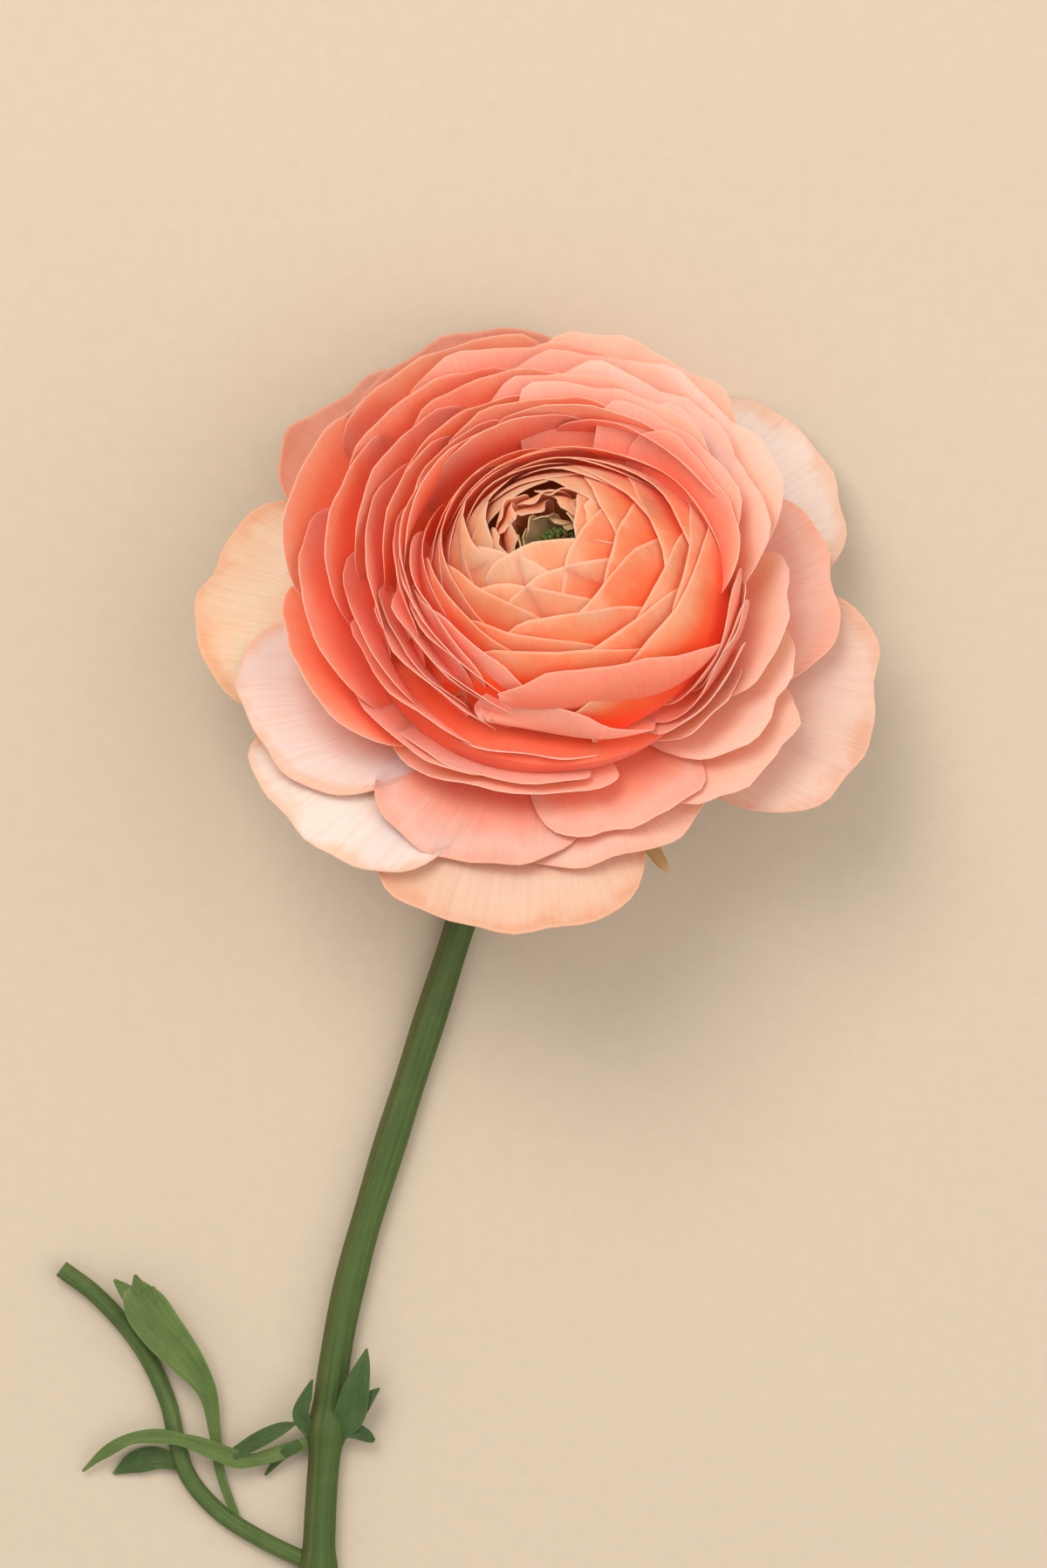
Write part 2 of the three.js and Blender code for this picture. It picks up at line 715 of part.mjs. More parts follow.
const flower = new THREE.Group();
flower.name = "ranunculus_flower";
flower.position.set(-REST.x, -REST.y, 0);
flower.add(
  bloom,
  meshOf("stem", stem, 0x586c32, 0.6),
  meshOf("right_bract", besideStem(rightBract()), 0x5a8a55, 0.7),
  meshOf("left_bract", besideStem(leftBract()), 0x5a8a55, 0.7),
  meshOf("trailing_leaf", besideStem(trailingLeaf()), 0x8fa978, 0.7),
  meshOf("side_shoot", besideStem(sideShoot()), 0x6f8f57, 0.7),
);

export default flower;
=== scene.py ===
"""A cut ranunculus flower lying on a pale surface, seen from straight above.

The bloom faces up and a little towards +Y; its stem lies along the surface towards -Y.
Sizes are given in millimetres and turned into metres where meshes are made.
"""

import logging
import math
from dataclasses import dataclass, field
from enum import Enum
from typing import Callable, Sequence

import bpy
import numpy as np
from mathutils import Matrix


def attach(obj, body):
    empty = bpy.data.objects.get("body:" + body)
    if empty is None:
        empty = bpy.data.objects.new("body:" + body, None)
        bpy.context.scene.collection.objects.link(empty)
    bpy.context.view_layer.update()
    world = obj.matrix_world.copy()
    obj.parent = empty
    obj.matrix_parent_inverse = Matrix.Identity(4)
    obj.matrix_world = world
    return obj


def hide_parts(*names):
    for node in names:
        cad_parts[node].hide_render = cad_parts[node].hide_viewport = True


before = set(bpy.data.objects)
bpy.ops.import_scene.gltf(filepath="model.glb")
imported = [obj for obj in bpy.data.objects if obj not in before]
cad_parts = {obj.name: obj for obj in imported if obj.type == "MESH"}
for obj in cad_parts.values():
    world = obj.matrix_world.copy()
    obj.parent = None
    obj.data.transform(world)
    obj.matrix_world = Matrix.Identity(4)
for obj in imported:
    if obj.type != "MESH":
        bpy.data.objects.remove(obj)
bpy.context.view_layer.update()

LOG = logging.getLogger("ranunculus")

MM = 0.001
# The middle of the stem's resting spot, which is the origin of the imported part.
REST = np.array([-20.4, -55.7, 0.0])
# The middle of the receptacle's foot, and how far the bloom's axis leans from upright to +Y.
BLOOM_CENTRE = np.array([2.2, 19.0, 19.0])
BLOOM_TILT = math.radians(32.0)
# The turn from one petal to the next, in degrees, and its share of a whole turn, for seeds.
GOLDEN_TURN = 137.508
GOLDEN_SHARE = 0.618
SHARP_EDGE = math.radians(55.0)
# No petal goes below this height above the surface, in metres.
LOWEST = 0.0001
MIDDLE_SAMPLES = 160
# The side step over which a petal's normals are measured, as a share of its width or length.
NORMAL_STEP = 0.004
BLACK = (0.0, 0.0, 0.0)

Color = tuple[float, float, float]
Stops = tuple[tuple[float, Color], ...]
Pair = tuple[float, float]
Spot = tuple[float, float, float]


class Face(Enum):
    """The two sides of a petal."""

    INNER = 0.0
    OUTER = 1.0


FACE_ORDER = (Face.OUTER, Face.INNER)


def smooth(value: np.ndarray | float, low: float, high: float) -> np.ndarray:
    """A soft step.

    Args:
        value: What is compared.
        low: Where the step starts.
        high: Where it ends.

    Returns:
        0 below low, 1 above high and a smooth rise between them.
    """
    t = np.clip((np.asarray(value, dtype=float) - low) / (high - low), 0.0, 1.0)
    return t * t * (3.0 - 2.0 * t)


def mix(a: float, b: float, share: float) -> float:
    """The value that lies share of the way from a to b."""
    return a + (b - a) * share


def srgb(red: int, green: int, blue: int) -> Color:
    """A display colour, 0 to 255 a channel, as linear light.

    Args:
        red: Red channel.
        green: Green channel.
        blue: Blue channel.

    Returns:
        The colour's three linear values.
    """

    def linear(value: float) -> float:
        """One channel as linear light."""
        value /= 255.0
        return value / 12.92 if value <= 0.04045 else ((value + 0.055) / 1.055) ** 2.4

    return (linear(red), linear(green), linear(blue))


def sway(radius: np.ndarray, height: np.ndarray) -> np.ndarray:
    """How far the heart leans to +X.

    Args:
        radius: Distance from the bloom's axis, in mm.
        height: Height along the axis, in mm.

    Returns:
        The shift along X, in mm.
    """
    across = 1.0 - smooth(radius, 20.0, 37.0)
    along = smooth(height, 2.0, 15.0) * (1.0 - smooth(height, 19.0, 34.0))
    return 4.7 * across * along


def bloom_to_world(points: np.ndarray) -> np.ndarray:
    """Turns points of the bloom's own frame into the part's frame.

    Args:
        points: Rows of x, y and height, in mm.

    Returns:
        Rows of x, y and z, in metres.
    """
    x, y, h = points[:, 0], points[:, 1], points[:, 2]
    c, s = math.cos(BLOOM_TILT), math.sin(BLOOM_TILT)
    turned = np.stack([x, y * c + h * s, -y * s + h * c], axis=1)
    return (turned + BLOOM_CENTRE - REST) * MM


def surface_to_world(points: np.ndarray) -> np.ndarray:
    """Shifts points beside the stem into the part's frame, and from mm to metres."""
    return (points - REST) * MM


@dataclass
class Shape:
    """A mesh that is being gathered from closed blades and tubes."""

    points: list[np.ndarray] = field(default_factory=list)
    faces: list[np.ndarray] = field(default_factory=list)
    marks: list[np.ndarray] = field(default_factory=list)
    hues: list[np.ndarray] = field(default_factory=list)
    count: int = 0

    def add(self, points: np.ndarray, faces: np.ndarray, marks: np.ndarray, hues: np.ndarray) -> None:
        """Adds one closed body, turned so that its faces look out.

        Args:
            points: Its vertices in metres.
            faces: Its quads as vertex numbers.
            marks: Side, along and tone of each vertex.
            hues: Face, seed and shade of each vertex.
        """
        a, b, c, d = (points[faces[:, k]] - points[0] for k in range(4))
        volume = float(np.sum(a * (np.cross(b, c) + np.cross(c, d))))
        if volume < 0.0:
            faces = faces[:, ::-1]
        self.points.append(points)
        self.faces.append(faces + self.count)
        self.marks.append(marks)
        self.hues.append(hues)
        self.count += len(points)

    def build(self, name: str) -> bpy.types.Object:
        """Makes the Blender object.

        Args:
            name: The object's name.

        Returns:
            A smooth-shaded mesh object with the attributes that the finishes read.
        """
        points = np.concatenate(self.points)
        faces = np.concatenate(self.faces)
        marks = np.concatenate(self.marks)
        hues = np.concatenate(self.hues)
        mesh = bpy.data.meshes.new(name)
        mesh.vertices.add(len(points))
        mesh.vertices.foreach_set("co", points.astype(np.float32).ravel())
        mesh.loops.add(faces.size)
        mesh.loops.foreach_set("vertex_index", faces.astype(np.int32).ravel())
        mesh.polygons.add(len(faces))
        mesh.polygons.foreach_set("loop_start", np.arange(len(faces), dtype=np.int32) * 4)
        mesh.polygons.foreach_set("use_smooth", np.ones(len(faces), dtype=bool))
        mesh.update(calc_edges=True)
        for title, values in (("mark", marks), ("hue", hues)):
            attribute = mesh.attributes.new(title, "FLOAT_VECTOR", "POINT")
            attribute.data.foreach_set("vector", values.astype(np.float32).ravel())
        uv = mesh.uv_layers.new(name="UVMap")
        corner = faces.ravel()
        spread = np.stack([(marks[corner, 0] + 1.0) / 2.0, marks[corner, 1]], axis=1)
        uv.data.foreach_set("uv", spread.astype(np.float32).ravel())
        mesh.set_sharp_from_angle(angle=SHARP_EDGE)
        piece = bpy.data.objects.new(name, mesh)
        bpy.context.scene.collection.objects.link(piece)
        return piece


def blade_faces(columns: int, rows: int) -> np.ndarray:
    """The quads of a closed blade whose two faces are grids.

    Args:
        columns: Cells across.
        rows: Cells along.

    Returns:
        Rows of four vertex numbers; the first grid's vertices come before the second's.
    """
    wide = columns + 1
    under = wide * (rows + 1)
    grid = np.arange(under).reshape(rows + 1, wide)
    a, b = grid[:-1, :-1].ravel(), grid[:-1, 1:].ravel()
    c, d = grid[1:, 1:].ravel(), grid[1:, :-1].ravel()
    quads = [np.stack([a, b, c, d], 1), np.stack([a, d, c, b], 1) + under]
    first, last = grid[0], grid[-1]
    left, right = grid[:, 0], grid[:, -1]
    for line in (first[::-1], last, left, right[::-1]):
        p, q = line[:-1], line[1:]
        quads.append(np.stack([p, q, q + under, p + under], 1))
    return np.concatenate(quads)


def tube_faces(rings: int, sides: int) -> np.ndarray:
    """The quads of a tube and of its two flat ends.

    Args:
        rings: Rings along it.
        sides: Steps round it, an even number.

    Returns:
        Rows of four vertex numbers.
    """
    index = np.arange(rings * sides).reshape(rings, sides)
    after = np.roll(index, -1, axis=1)
    quads = [np.stack([index[:-1], after[:-1], after[1:], index[1:]], axis=2).reshape(-1, 4)]
    for k in range(sides // 2 - 1):
        corners = [k, k + 1, sides - 2 - k, sides - 1 - k]
        quads.append([index[0, corners[::-1]], index[-1, corners]])
    return np.concatenate(quads)


@dataclass(frozen=True)
class Petal:
    """One petal: a fan-shaped blade on a curved middle line that hugs the bloom's axis."""

    turn: float
    root: Pair
    tip: Pair
    out: float = 5.0
    end: float = 90.0
    reach: Pair = (0.5, 0.5)
    fan: float = 27.0
    hug: float = 0.9
    lean: float = 0.05
    wave: float = 0.3
    lobes: float = 3.0
    phase: float = 0.0
    blunt: float = 3.4
    round: float = 0.4
    start: float = 0.3
    claw: float = 2.2
    frill: float = 0.012
    roll: float = 0.0
    slant: float = 0.0
    square: float = 0.0
    thick: float = 0.40
    thin: float = 0.12
    tone: float = 0.5
    # The petal finishes read a positive shade as blush and a negative one as painted shade.
    shade: float = 0.0

    def middle(self) -> tuple[np.ndarray, np.ndarray, np.ndarray, float]:
        """The middle line from root to tip.

        Returns:
            Shares of its length, its points, its headings there and its length.
        """
        root, tip = np.array(self.root, dtype=float), np.array(self.tip, dtype=float)
        chord = float(np.hypot(*(tip - root)))
        out, end = math.radians(self.out), math.radians(self.end)
        first = root + self.reach[0] * chord * np.array([math.cos(out), math.sin(out)])
        last = tip - self.reach[1] * chord * np.array([math.cos(end), math.sin(end)])
        t = np.linspace(0.0, 1.0, MIDDLE_SAMPLES)[:, None]
        line = (
            (1 - t) ** 3 * root
            + 3 * (1 - t) ** 2 * t * first
            + 3 * (1 - t) * t**2 * last
            + t**3 * tip
        )
        heading = 3 * (
            (1 - t) ** 2 * (first - root) + 2 * (1 - t) * t * (last - first) + t**2 * (tip - last)
        )
        heading /= np.linalg.norm(heading, axis=1, keepdims=True)
        steps = np.linalg.norm(np.diff(line, axis=0), axis=1)
        run = np.concatenate([[0.0], np.cumsum(steps)])
        return run / run[-1], line, heading, float(run[-1])

    def outline(self, side: np.ndarray) -> np.ndarray:
        """How long the petal is at each side.

        Args:
            side: From -1 to 1 across the fan.

        Returns:
            Shares of its full length.
        """
        flank = np.minimum(np.abs(side) * 0.985, 0.995)
        edge = (1.0 - flank**self.blunt) ** self.round
        frill = self.frill * (
            np.sin(5.3 * side + self.phase)
            + 0.7 * np.sin(11.7 * side + 2.1 * self.phase)
            + 0.4 * np.sin(21.0 * side + 3.7 * self.phase)
        )
        straight = 1.0 / np.cos(side * math.radians(self.fan)) - 1.0
        return edge * (1.0 + frill + self.slant * side) * (1.0 + self.square * straight)

    def points(self, side: np.ndarray, along: np.ndarray) -> np.ndarray:
        """Points of the middle surface.

        Args:
            side: From -1 to 1 across the fan.
            along: From 0 at the claw to 1 at the margin.

        Returns:
            Rows of x, y and height in the bloom's frame, in mm.
        """
        shares, line, headings, length = self.middle()
        fan = math.radians(self.fan)
        angle = side * fan
        back = self.claw / math.tan(fan)
        claw = back / np.cos(angle)
        edge = (length + back) * self.outline(side)
        distance = claw + (np.maximum(edge, claw * 1.02) - claw) * along
        x = distance * np.sin(angle)
        y = distance * np.cos(angle) - back
        share = np.clip(y / length, 0.0, 1.0)
        radius = np.interp(share, shares, line[:, 0])
        height = np.interp(share, shares, line[:, 1])
        head_r = np.interp(share, shares, headings[:, 0])
        head_h = np.interp(share, shares, headings[:, 1])
        beyond = np.maximum(y - length, 0.0)
        radius, height = radius + head_r * beyond, height + head_h * beyond
        bend = self.hug * np.maximum(head_h, 0.02) / np.maximum(radius, 5.0)
        swell = share * share * along
        depth = (1.0 - np.cos(bend * x)) / bend + self.lean * x * share
        depth += self.wave * swell * np.sin(1.7 * self.lobes * side + self.phase)
        depth += 0.36 * self.wave * swell**3 * np.sin(11.0 * side + 2.3 * self.phase)
        depth -= self.roll * smooth(along, 0.72, 1.0) ** 1.5
        reach = radius - depth * head_h
        rise = height + depth * head_r
        tangent = np.sin(bend * x) / bend
        turn = math.radians(self.turn)
        px = reach * math.cos(turn) - tangent * math.sin(turn)
        py = reach * math.sin(turn) + tangent * math.cos(turn)
        return np.stack([px + sway(np.hypot(px, py), rise), py, rise], axis=1)

    def build(self, shape: Shape, seed: float, columns: int, rows: int) -> None:
        """Adds the petal to a shape as a thin closed blade, finer towards its margin.

        Args:
            shape: What it is added to.
            seed: A number of its own, for its finish.
            columns: Cells across.
            rows: Cells along.
        """
        sides = np.sin(np.linspace(-1.0, 1.0, columns + 1) * math.pi / 2 * 0.93)
        sides /= sides[-1]
        steps = np.linspace(0.0, 1.0, rows + 1)
        alongs = self.start + (1.0 - self.start) * (1.0 - (1.0 - steps) ** 1.25)
        side, along = [v.ravel() for v in np.meshgrid(sides, alongs)]
        here = self.points(side, along)
        across = self.points(side + NORMAL_STEP, along) - self.points(side - NORMAL_STEP, along)
        up = self.points(side, along + NORMAL_STEP) - self.points(side, along - NORMAL_STEP)
        normal = np.cross(across, up)
        normal /= np.linalg.norm(normal, axis=1, keepdims=True) + 1e-12
        rim = np.maximum(smooth(along, 0.55, 1.0), smooth(np.abs(side), 0.8, 1.0))
        half = (self.thick + (self.thin - self.thick) * rim)[:, None] / 2.0
        points = np.concatenate([here + normal * half, here - normal * half])
        world = bloom_to_world(points)
        world[:, 2] = np.maximum(world[:, 2], LOWEST)
        marks = np.stack([side, along, np.full_like(side, self.tone)], axis=1)
        hues = [np.tile([face.value, seed, self.shade], (len(side), 1)) for face in FACE_ORDER]
        faces = blade_faces(columns, rows)
        shape.add(world, faces, np.concatenate([marks, marks]), np.concatenate(hues))


def grow(shape: Shape, petals: Sequence[Petal], columns: int = 30, rows: int = 20) -> None:
    """Adds petals to a shape, each with a seed of its own.

    Args:
        shape: What they are added to.
        petals: The petals.
        columns: Cells across each.
        rows: Cells along each.
    """
    for n, petal in enumerate(petals):
        petal.build(shape, (n * GOLDEN_SHARE) % 1.0, columns, rows)


def lathe(
    shape: Shape, profile: Sequence[Pair], shade: float, sides: int = 48, tone: float = 0.5
) -> None:
    """Adds a closed ring or dome turned about the bloom's axis, leaning with the heart.

    Args:
        shape: What it is added to.
        profile: Points of radius and height, in mm, round a closed section.
        shade: Its place in the petals' shades.
        sides: Steps round.
        tone: Its place between the pale and the warm run.
    """
    outline = np.array(profile, dtype=float)
    count = len(outline)
    angles = np.linspace(0.0, 2.0 * math.pi, sides, endpoint=False)
    radius, height = outline[:, 0], outline[:, 1]
    rings = np.concatenate(
        [np.stack([radius * math.cos(a), radius * math.sin(a), height], axis=1) for a in angles]
    )
    rings[:, 0] += sway(np.hypot(rings[:, 0], rings[:, 1]), rings[:, 2])
    index = np.arange(sides * count).reshape(sides, count)
    after = np.roll(index, -1, axis=0)
    corners = [index, after, np.roll(after, -1, axis=1), np.roll(index, -1, axis=1)]
    quads = np.stack(corners, axis=2).reshape(-1, 4)
    marks = np.tile([0.0, 0.3, tone], (len(rings), 1))
    hues = np.tile([1.0, 0.5, shade], (len(rings), 1))
    shape.add(bloom_to_world(rings), quads, marks, hues)


class Blend(Enum):
    """The ways in which two colours are mixed."""

    MIX = "MIX"
    MULTIPLY = "MULTIPLY"


@dataclass(frozen=True)
class Wire:
    """A node's output that can be reckoned with: every sum or product adds a Math node."""

    socket: bpy.types.NodeSocket

    @property
    def tree(self) -> bpy.types.NodeTree:
        """The node tree that it runs through."""
        return self.socket.id_data

    def math(self, operation: str, *values: "Wire | float") -> "Wire":
        """Adds a Math node beside it.

        Args:
            operation: Blender's name of the operation.
            values: What the node's inputs get.

        Returns:
            The node's result.
        """
        node = self.tree.nodes.new("ShaderNodeMath")
        node.operation = operation
        feed(node, dict(enumerate(values)))
        return Wire(node.outputs[0])

    def __add__(self, other: "Wire | float") -> "Wire":
        """The sum."""
        return self.math("ADD", self, other)

    def __sub__(self, other: "Wire | float") -> "Wire":
        """The difference."""
        return self.math("SUBTRACT", self, other)

    def __rsub__(self, number: float) -> "Wire":
        """What is left of a number."""
        return self.math("SUBTRACT", number, self)

    def __mul__(self, other: "Wire | float") -> "Wire":
        """The product."""
        return self.math("MULTIPLY", self, other)

    def __truediv__(self, other: "Wire | float") -> "Wire":
        """The quotient."""
        return self.math("DIVIDE", self, other)

    def __pow__(self, number: float) -> "Wire":
        """The power."""
        return self.math("POWER", self, number)

    def __abs__(self) -> "Wire":
        """The value without its sign."""
        return self.math("ABSOLUTE", self)

    def larger(self, other: "Wire") -> "Wire":
        """The larger of the two."""
        return self.math("MAXIMUM", self, other)

    def clamped(self) -> "Wire":
        """Keeps the result of its Math node within 0 and 1."""
        self.socket.node.use_clamp = True
        return self

    def span(self, low: float, high: float, to_low: float = 0.0, to_high: float = 1.0) -> "Wire":
        """Adds a smooth Map Range node.

        Args:
            low: Where the rise starts.
            high: Where it ends.
            to_low: The result at low.
            to_high: The result at high.

        Returns:
            The mapped value.
        """
        node = self.tree.nodes.new("ShaderNodeMapRange")
        node.interpolation_type = "SMOOTHSTEP"
        ends = {"From Min": low, "From Max": high, "To Min": to_low, "To Max": to_high}
        feed(node, {"Value": self, **ends})
        return Wire(node.outputs["Result"])

    def noise(self, scale: float, detail: float, roughness: float = 0.5) -> "Wire":
        """Adds a noise texture that reads it as coordinates.

        Args:
            scale: How fine the noise is.
            detail: Its octaves.
            roughness: How strong the finer octaves are.

        Returns:
            The noise's value.
        """
        node = self.tree.nodes.new("ShaderNodeTexNoise")
        feed(node, {"Vector": self, "Scale": scale, "Detail": detail, "Roughness": roughness})
        return Wire(node.outputs["Fac"])

    def scaled(self, factor: "Wire") -> "Wire":
        """Adds a node that scales it.

        Args:
            factor: What all its numbers, such as a colour's three, are multiplied by.

        Returns:
            The scaled colour or vector.
        """
        node = self.tree.nodes.new("ShaderNodeVectorMath")
        node.operation = "SCALE"
        feed(node, {0: self, "Scale": factor})
        return Wire(node.outputs[0])

    def ramp(self, stops: Stops) -> "Wire":
        """Adds a colour ramp that it drives.

        Args:
            stops: Places and colours.

        Returns:
            The ramp's colour.
        """
        node = self.tree.nodes.new("ShaderNodeValToRGB")
        elements = node.color_ramp.elements
        while len(elements) < len(stops):
            elements.new(0.5)
        for element, (place, color) in zip(elements, stops):
            element.position = place
            element.color = (*color, 1.0)
        feed(node, {"Fac": self})
        return Wire(node.outputs["Color"])

    def bumped(self, strength: float, distance: float) -> "Wire":
        """Adds a bump that reads it as height.

        Args:
            strength: How strong the bump is.
            distance: How far the height reaches, in metres.

        Returns:
            The normal.
        """
        node = self.tree.nodes.new("ShaderNodeBump")
        feed(node, {"Strength": strength, "Distance": distance, "Height": self})
        return Wire(node.outputs["Normal"])


def feed(node: bpy.types.Node, inputs: dict[int | str, Wire | Sequence[float] | float]) -> None:
    """Links wires to a node's inputs and sets its constants.

    Args:
        node: The node.
        inputs: A wire, a colour, a vector or a number by the input's name or number.
    """
    for place, value in inputs.items():
        socket = node.inputs[place]
        if isinstance(value, Wire):
            value.tree.links.new(value.socket, socket)
        elif socket.type == "RGBA":
            socket.default_value = (*value, 1.0)
        else:
            socket.default_value = value


def coordinates(x: Wire, y: Wire, z: Wire | float) -> Wire:
    """Joins three values into coordinates.

    Args:
        x: The first.
        y: The second.
        z: The third.

    Returns:
        The joined vector.
    """
    node = x.tree.nodes.new("ShaderNodeCombineXYZ")
    feed(node, {0: x, 1: y, 2: z})
    return Wire(node.outputs[0])


def blend(share: Wire, first: Wire | Color, second: Wire | Color, how: Blend = Blend.MIX) -> Wire:
    """Mixes two colours.

    Args:
        share: How much of the second shows.
        first: The first colour.
        second: The second colour.
        how: The way of mixing.

    Returns:
        The mixed colour.
    """
    node = share.tree.nodes.new("ShaderNodeMix")
    node.data_type = "RGBA"
    node.blend_type = how.value
    feed(node, {0: share, 6: first, 7: second})
    return Wire(node.outputs[2])


def group(
    name: str,
    inputs: dict[str, float],
    outputs: Sequence[str],
    fill: Callable[..., tuple[Wire, ...]],
) -> bpy.types.NodeTree:
    """Makes a shader node group once.

    Args:
        name: The group's name.
        inputs: Its number inputs and their usual values.
        outputs: Its number outputs.
        fill: Takes a wire from each input and gives one for each output.

    Returns:
        The group's node tree.
    """
    found = bpy.data.node_groups.get(name)
    if found:
        return found
    tree = bpy.data.node_groups.new(name, "ShaderNodeTree")
    for title, value in inputs.items():
        socket = tree.interface.new_socket(title, in_out="INPUT", socket_type="NodeSocketFloat")
        socket.default_value = value
    for title in outputs:
        tree.interface.new_socket(title, in_out="OUTPUT", socket_type="NodeSocketFloat")
    source = tree.nodes.new("NodeGroupInput")
    results = fill(*(Wire(source.outputs[title]) for title in inputs))
    feed(tree.nodes.new("NodeGroupOutput"), dict(zip(outputs, results)))
    return tree


def fan_veins() -> bpy.types.NodeTree:
    """The group of fine veins that fan out from a petal's claw to its margin."""

    def fill(side: Wire, along: Wire, seed: Wire) -> tuple[Wire, ...]:
        """Builds wide and thin veins from noise that is stretched along the petal.

        Args:
            side: From -1 to 1 across the petal.
            along: From 0 at the claw to 1 at the margin.
            seed: The petal's own number.

        Returns:
            The veins.
        """
        bent = side + coordinates(side, along, seed).noise(2.4, 2.0) * 0.10
        wide = coordinates(bent * 48.0, along * 1.6, seed * 37.0).noise(1.0, 1.0)
        thin = coordinates(bent * 130.0, along * 3.0, seed * 61.0).noise(1.0, 1.0)
        return (wide.span(0.42, 0.68) * 0.55 + thin.span(0.45, 0.7) * 0.45,)

    return group("fan_veins", {"Side": 0.0, "Along": 0.5, "Seed": 0.0}, ("Veins",), fill)


def thin_margin() -> bpy.types.NodeTree:
    """The group that marks the thin light margin of a petal or leaf."""

    def fill(side: Wire, along: Wire, width: Wire, seed: Wire) -> tuple[Wire, ...]:
        """Builds the margin from the distance to the tip and to the flanks.

        Args:
            side: From -1 to 1 across the blade.
            along: From 0 at its foot to 1 at its tip.
            width: How wide the margin is, as a share of the blade.
            seed: The blade's own number.

        Returns:
            The margin.
        """
        wide = width * (coordinates(side * 9.0, seed, 0.0).noise(1.0, 3.0) + 0.35)
        tip = (1.0 - (1.0 - along) / wide).clamped()
        flank = (1.0 - (1.0 - abs(side)) / wide).clamped()
        return (tip.larger(flank * 0.35),)

    inputs = {"Side": 0.0, "Along": 0.5, "Width": 0.03, "Seed": 0.0}
    return group("thin_margin", inputs, ("Margin",), fill)


def cell_mottle() -> bpy.types.NodeTree:
    """The group of soft blotches and fine cells on plant skin."""

    def fill(scale: Wire) -> tuple[Wire, ...]:
        """Builds blotches and cells in the part's own space.

        Args:
            scale: How fine they are.

        Returns:
            The blotches and the cells.
        """
        place = Wire(scale.tree.nodes.new("ShaderNodeTexCoord").outputs["Object"]).scaled(scale)
        return place.noise(1.0, 3.0, 0.6).span(0.3, 0.7), place.noise(16.0, 2.0, 0.6)

    return group("cell_mottle", {"Scale": 130.0}, ("Blotches", "Cells"), fill)


def place_group(
    tree: bpy.types.NodeTree,
    made: bpy.types.NodeTree,
    **values: Wire | float,
) -> dict[str, Wire]:
    """Places a group in a material.

    Args:
        tree: The material's node tree.
        made: The group.
        values: Wires or numbers by input name.

    Returns:
        The group's results by name.
    """
    node = tree.nodes.new("ShaderNodeGroup")
    node.node_tree = made
    feed(node, values)
    return {socket.name: Wire(socket) for socket in node.outputs}


def marks_of(tree: bpy.types.NodeTree, name: str) -> list[Wire]:
    """The three numbers of a mesh's named attribute.

    Args:
        tree: The material's node tree.
        name: The attribute.

    Returns:
        Its three numbers.
    """
    node = tree.nodes.new("ShaderNodeAttribute")
    node.attribute_name = name
    parts = tree.nodes.new("ShaderNodeSeparateXYZ")
    feed(parts, {0: Wire(node.outputs["Vector"])})
    return [Wire(socket) for socket in parts.outputs]


def new_material(name: str) -> tuple[bpy.types.Material, bpy.types.NodeTree, bpy.types.Node]:
    """Makes a node material.

    Args:
        name: Its name.

    Returns:
        The material, its node tree and its Principled shader.
    """
    material = bpy.data.materials.new(name)
    material.use_nodes = True
    return material, material.node_tree, material.node_tree.nodes["Principled BSDF"]


@dataclass(frozen=True)
class PetalFinish:
    """The finish of a whorl: runs of colour from claw to margin, with painted shade and painted glow, mixed
    by a petal's marks.
    """

    name: str
    warm: Stops
    soft: Stops
    flush: Stops
    shadow: Stops
    # Painted glow: a run of emission from claw to margin.
    painted_glow: Stops
    # The rim colour is partly the petals' own pale margin and partly a painted highlight where the thin edge
    # catches light.
    rim: Color
    vein: Color
    vein_share: float
    dust: Color
    dust_share: float
    dust_band: Pair = (0.84, 0.985)
    margin: float = 0.016
    mottle: float = 120.0
    roughness: float = 0.62
    glow: float = 0.4

    def build(self) -> bpy.types.Material:
        """Makes the material.

        Returns:
            A node material that reads the petals' marks.
        """
        material, tree, shader = new_material(self.name)
        side, along, tone = marks_of(tree, "mark")
        face, seed, blush_and_painted_shade = marks_of(tree, "hue")
        veins = place_group(tree, fan_veins(), Side=side, Along=along, Seed=seed)["Veins"]
        rim = place_group(tree, thin_margin(), Side=side, Along=along, Width=self.margin, Seed=seed)
        skin = place_group(tree, cell_mottle(), Scale=self.mottle)
        spread = along + (skin["Blotches"] - 0.5) * 0.08 + abs(side) ** 3.0 * 0.05
        color = blend(tone, spread.ramp(self.soft), spread.ramp(self.warm))
        color = blend(blush_and_painted_shade, color, spread.ramp(self.flush))
        # A negative shade mixes in the painted shade run.
        color = blend((blush_and_painted_shade * -1.0).clamped(), color, spread.ramp(self.shadow))
        dusty = along.span(*self.dust_band) * (face * 0.75 + 0.25) * (skin["Blotches"] * 0.6 + 0.4)
        color = blend(dusty * self.dust_share, color, self.dust)
        lines = veins * along.span(0.25, 0.75, 0.45, 1.0)
        color = blend(lines * self.vein_share, color, self.vein, Blend.MULTIPLY)
        # Light rim: partly the petal's own pale margin and partly a painted highlight on its thin edge.
        color = blend(rim["Margin"] * 0.55, color, self.rim)
        height = veins * 0.7 + skin["Cells"] * 0.25
        inputs = {
            "Base Color": color.scaled(1.04 - seed * 0.12),
            "Roughness": veins * 0.1 + (self.roughness - 0.05),
            "Normal": height.bumped(0.35, 0.00012),
            # Painted glow: emission that brightens the deep parts of the petals, more in warm-toned ones, in
            # place of light shining through them.
            "Emission Color": blend(tone * 0.8 + 0.2, BLACK, along.ramp(self.painted_glow)),
            "Emission Strength": 1.0,
            "Subsurface Weight": self.glow,
            "Subsurface Radius": (1.0, 0.34, 0.2),
            "Subsurface Scale": 0.003,
            "Specular IOR Level": 0.3,
            "Sheen Weight": 0.12,
            "Sheen Roughness": 0.5,
        }
        feed(shader, inputs)
        return material


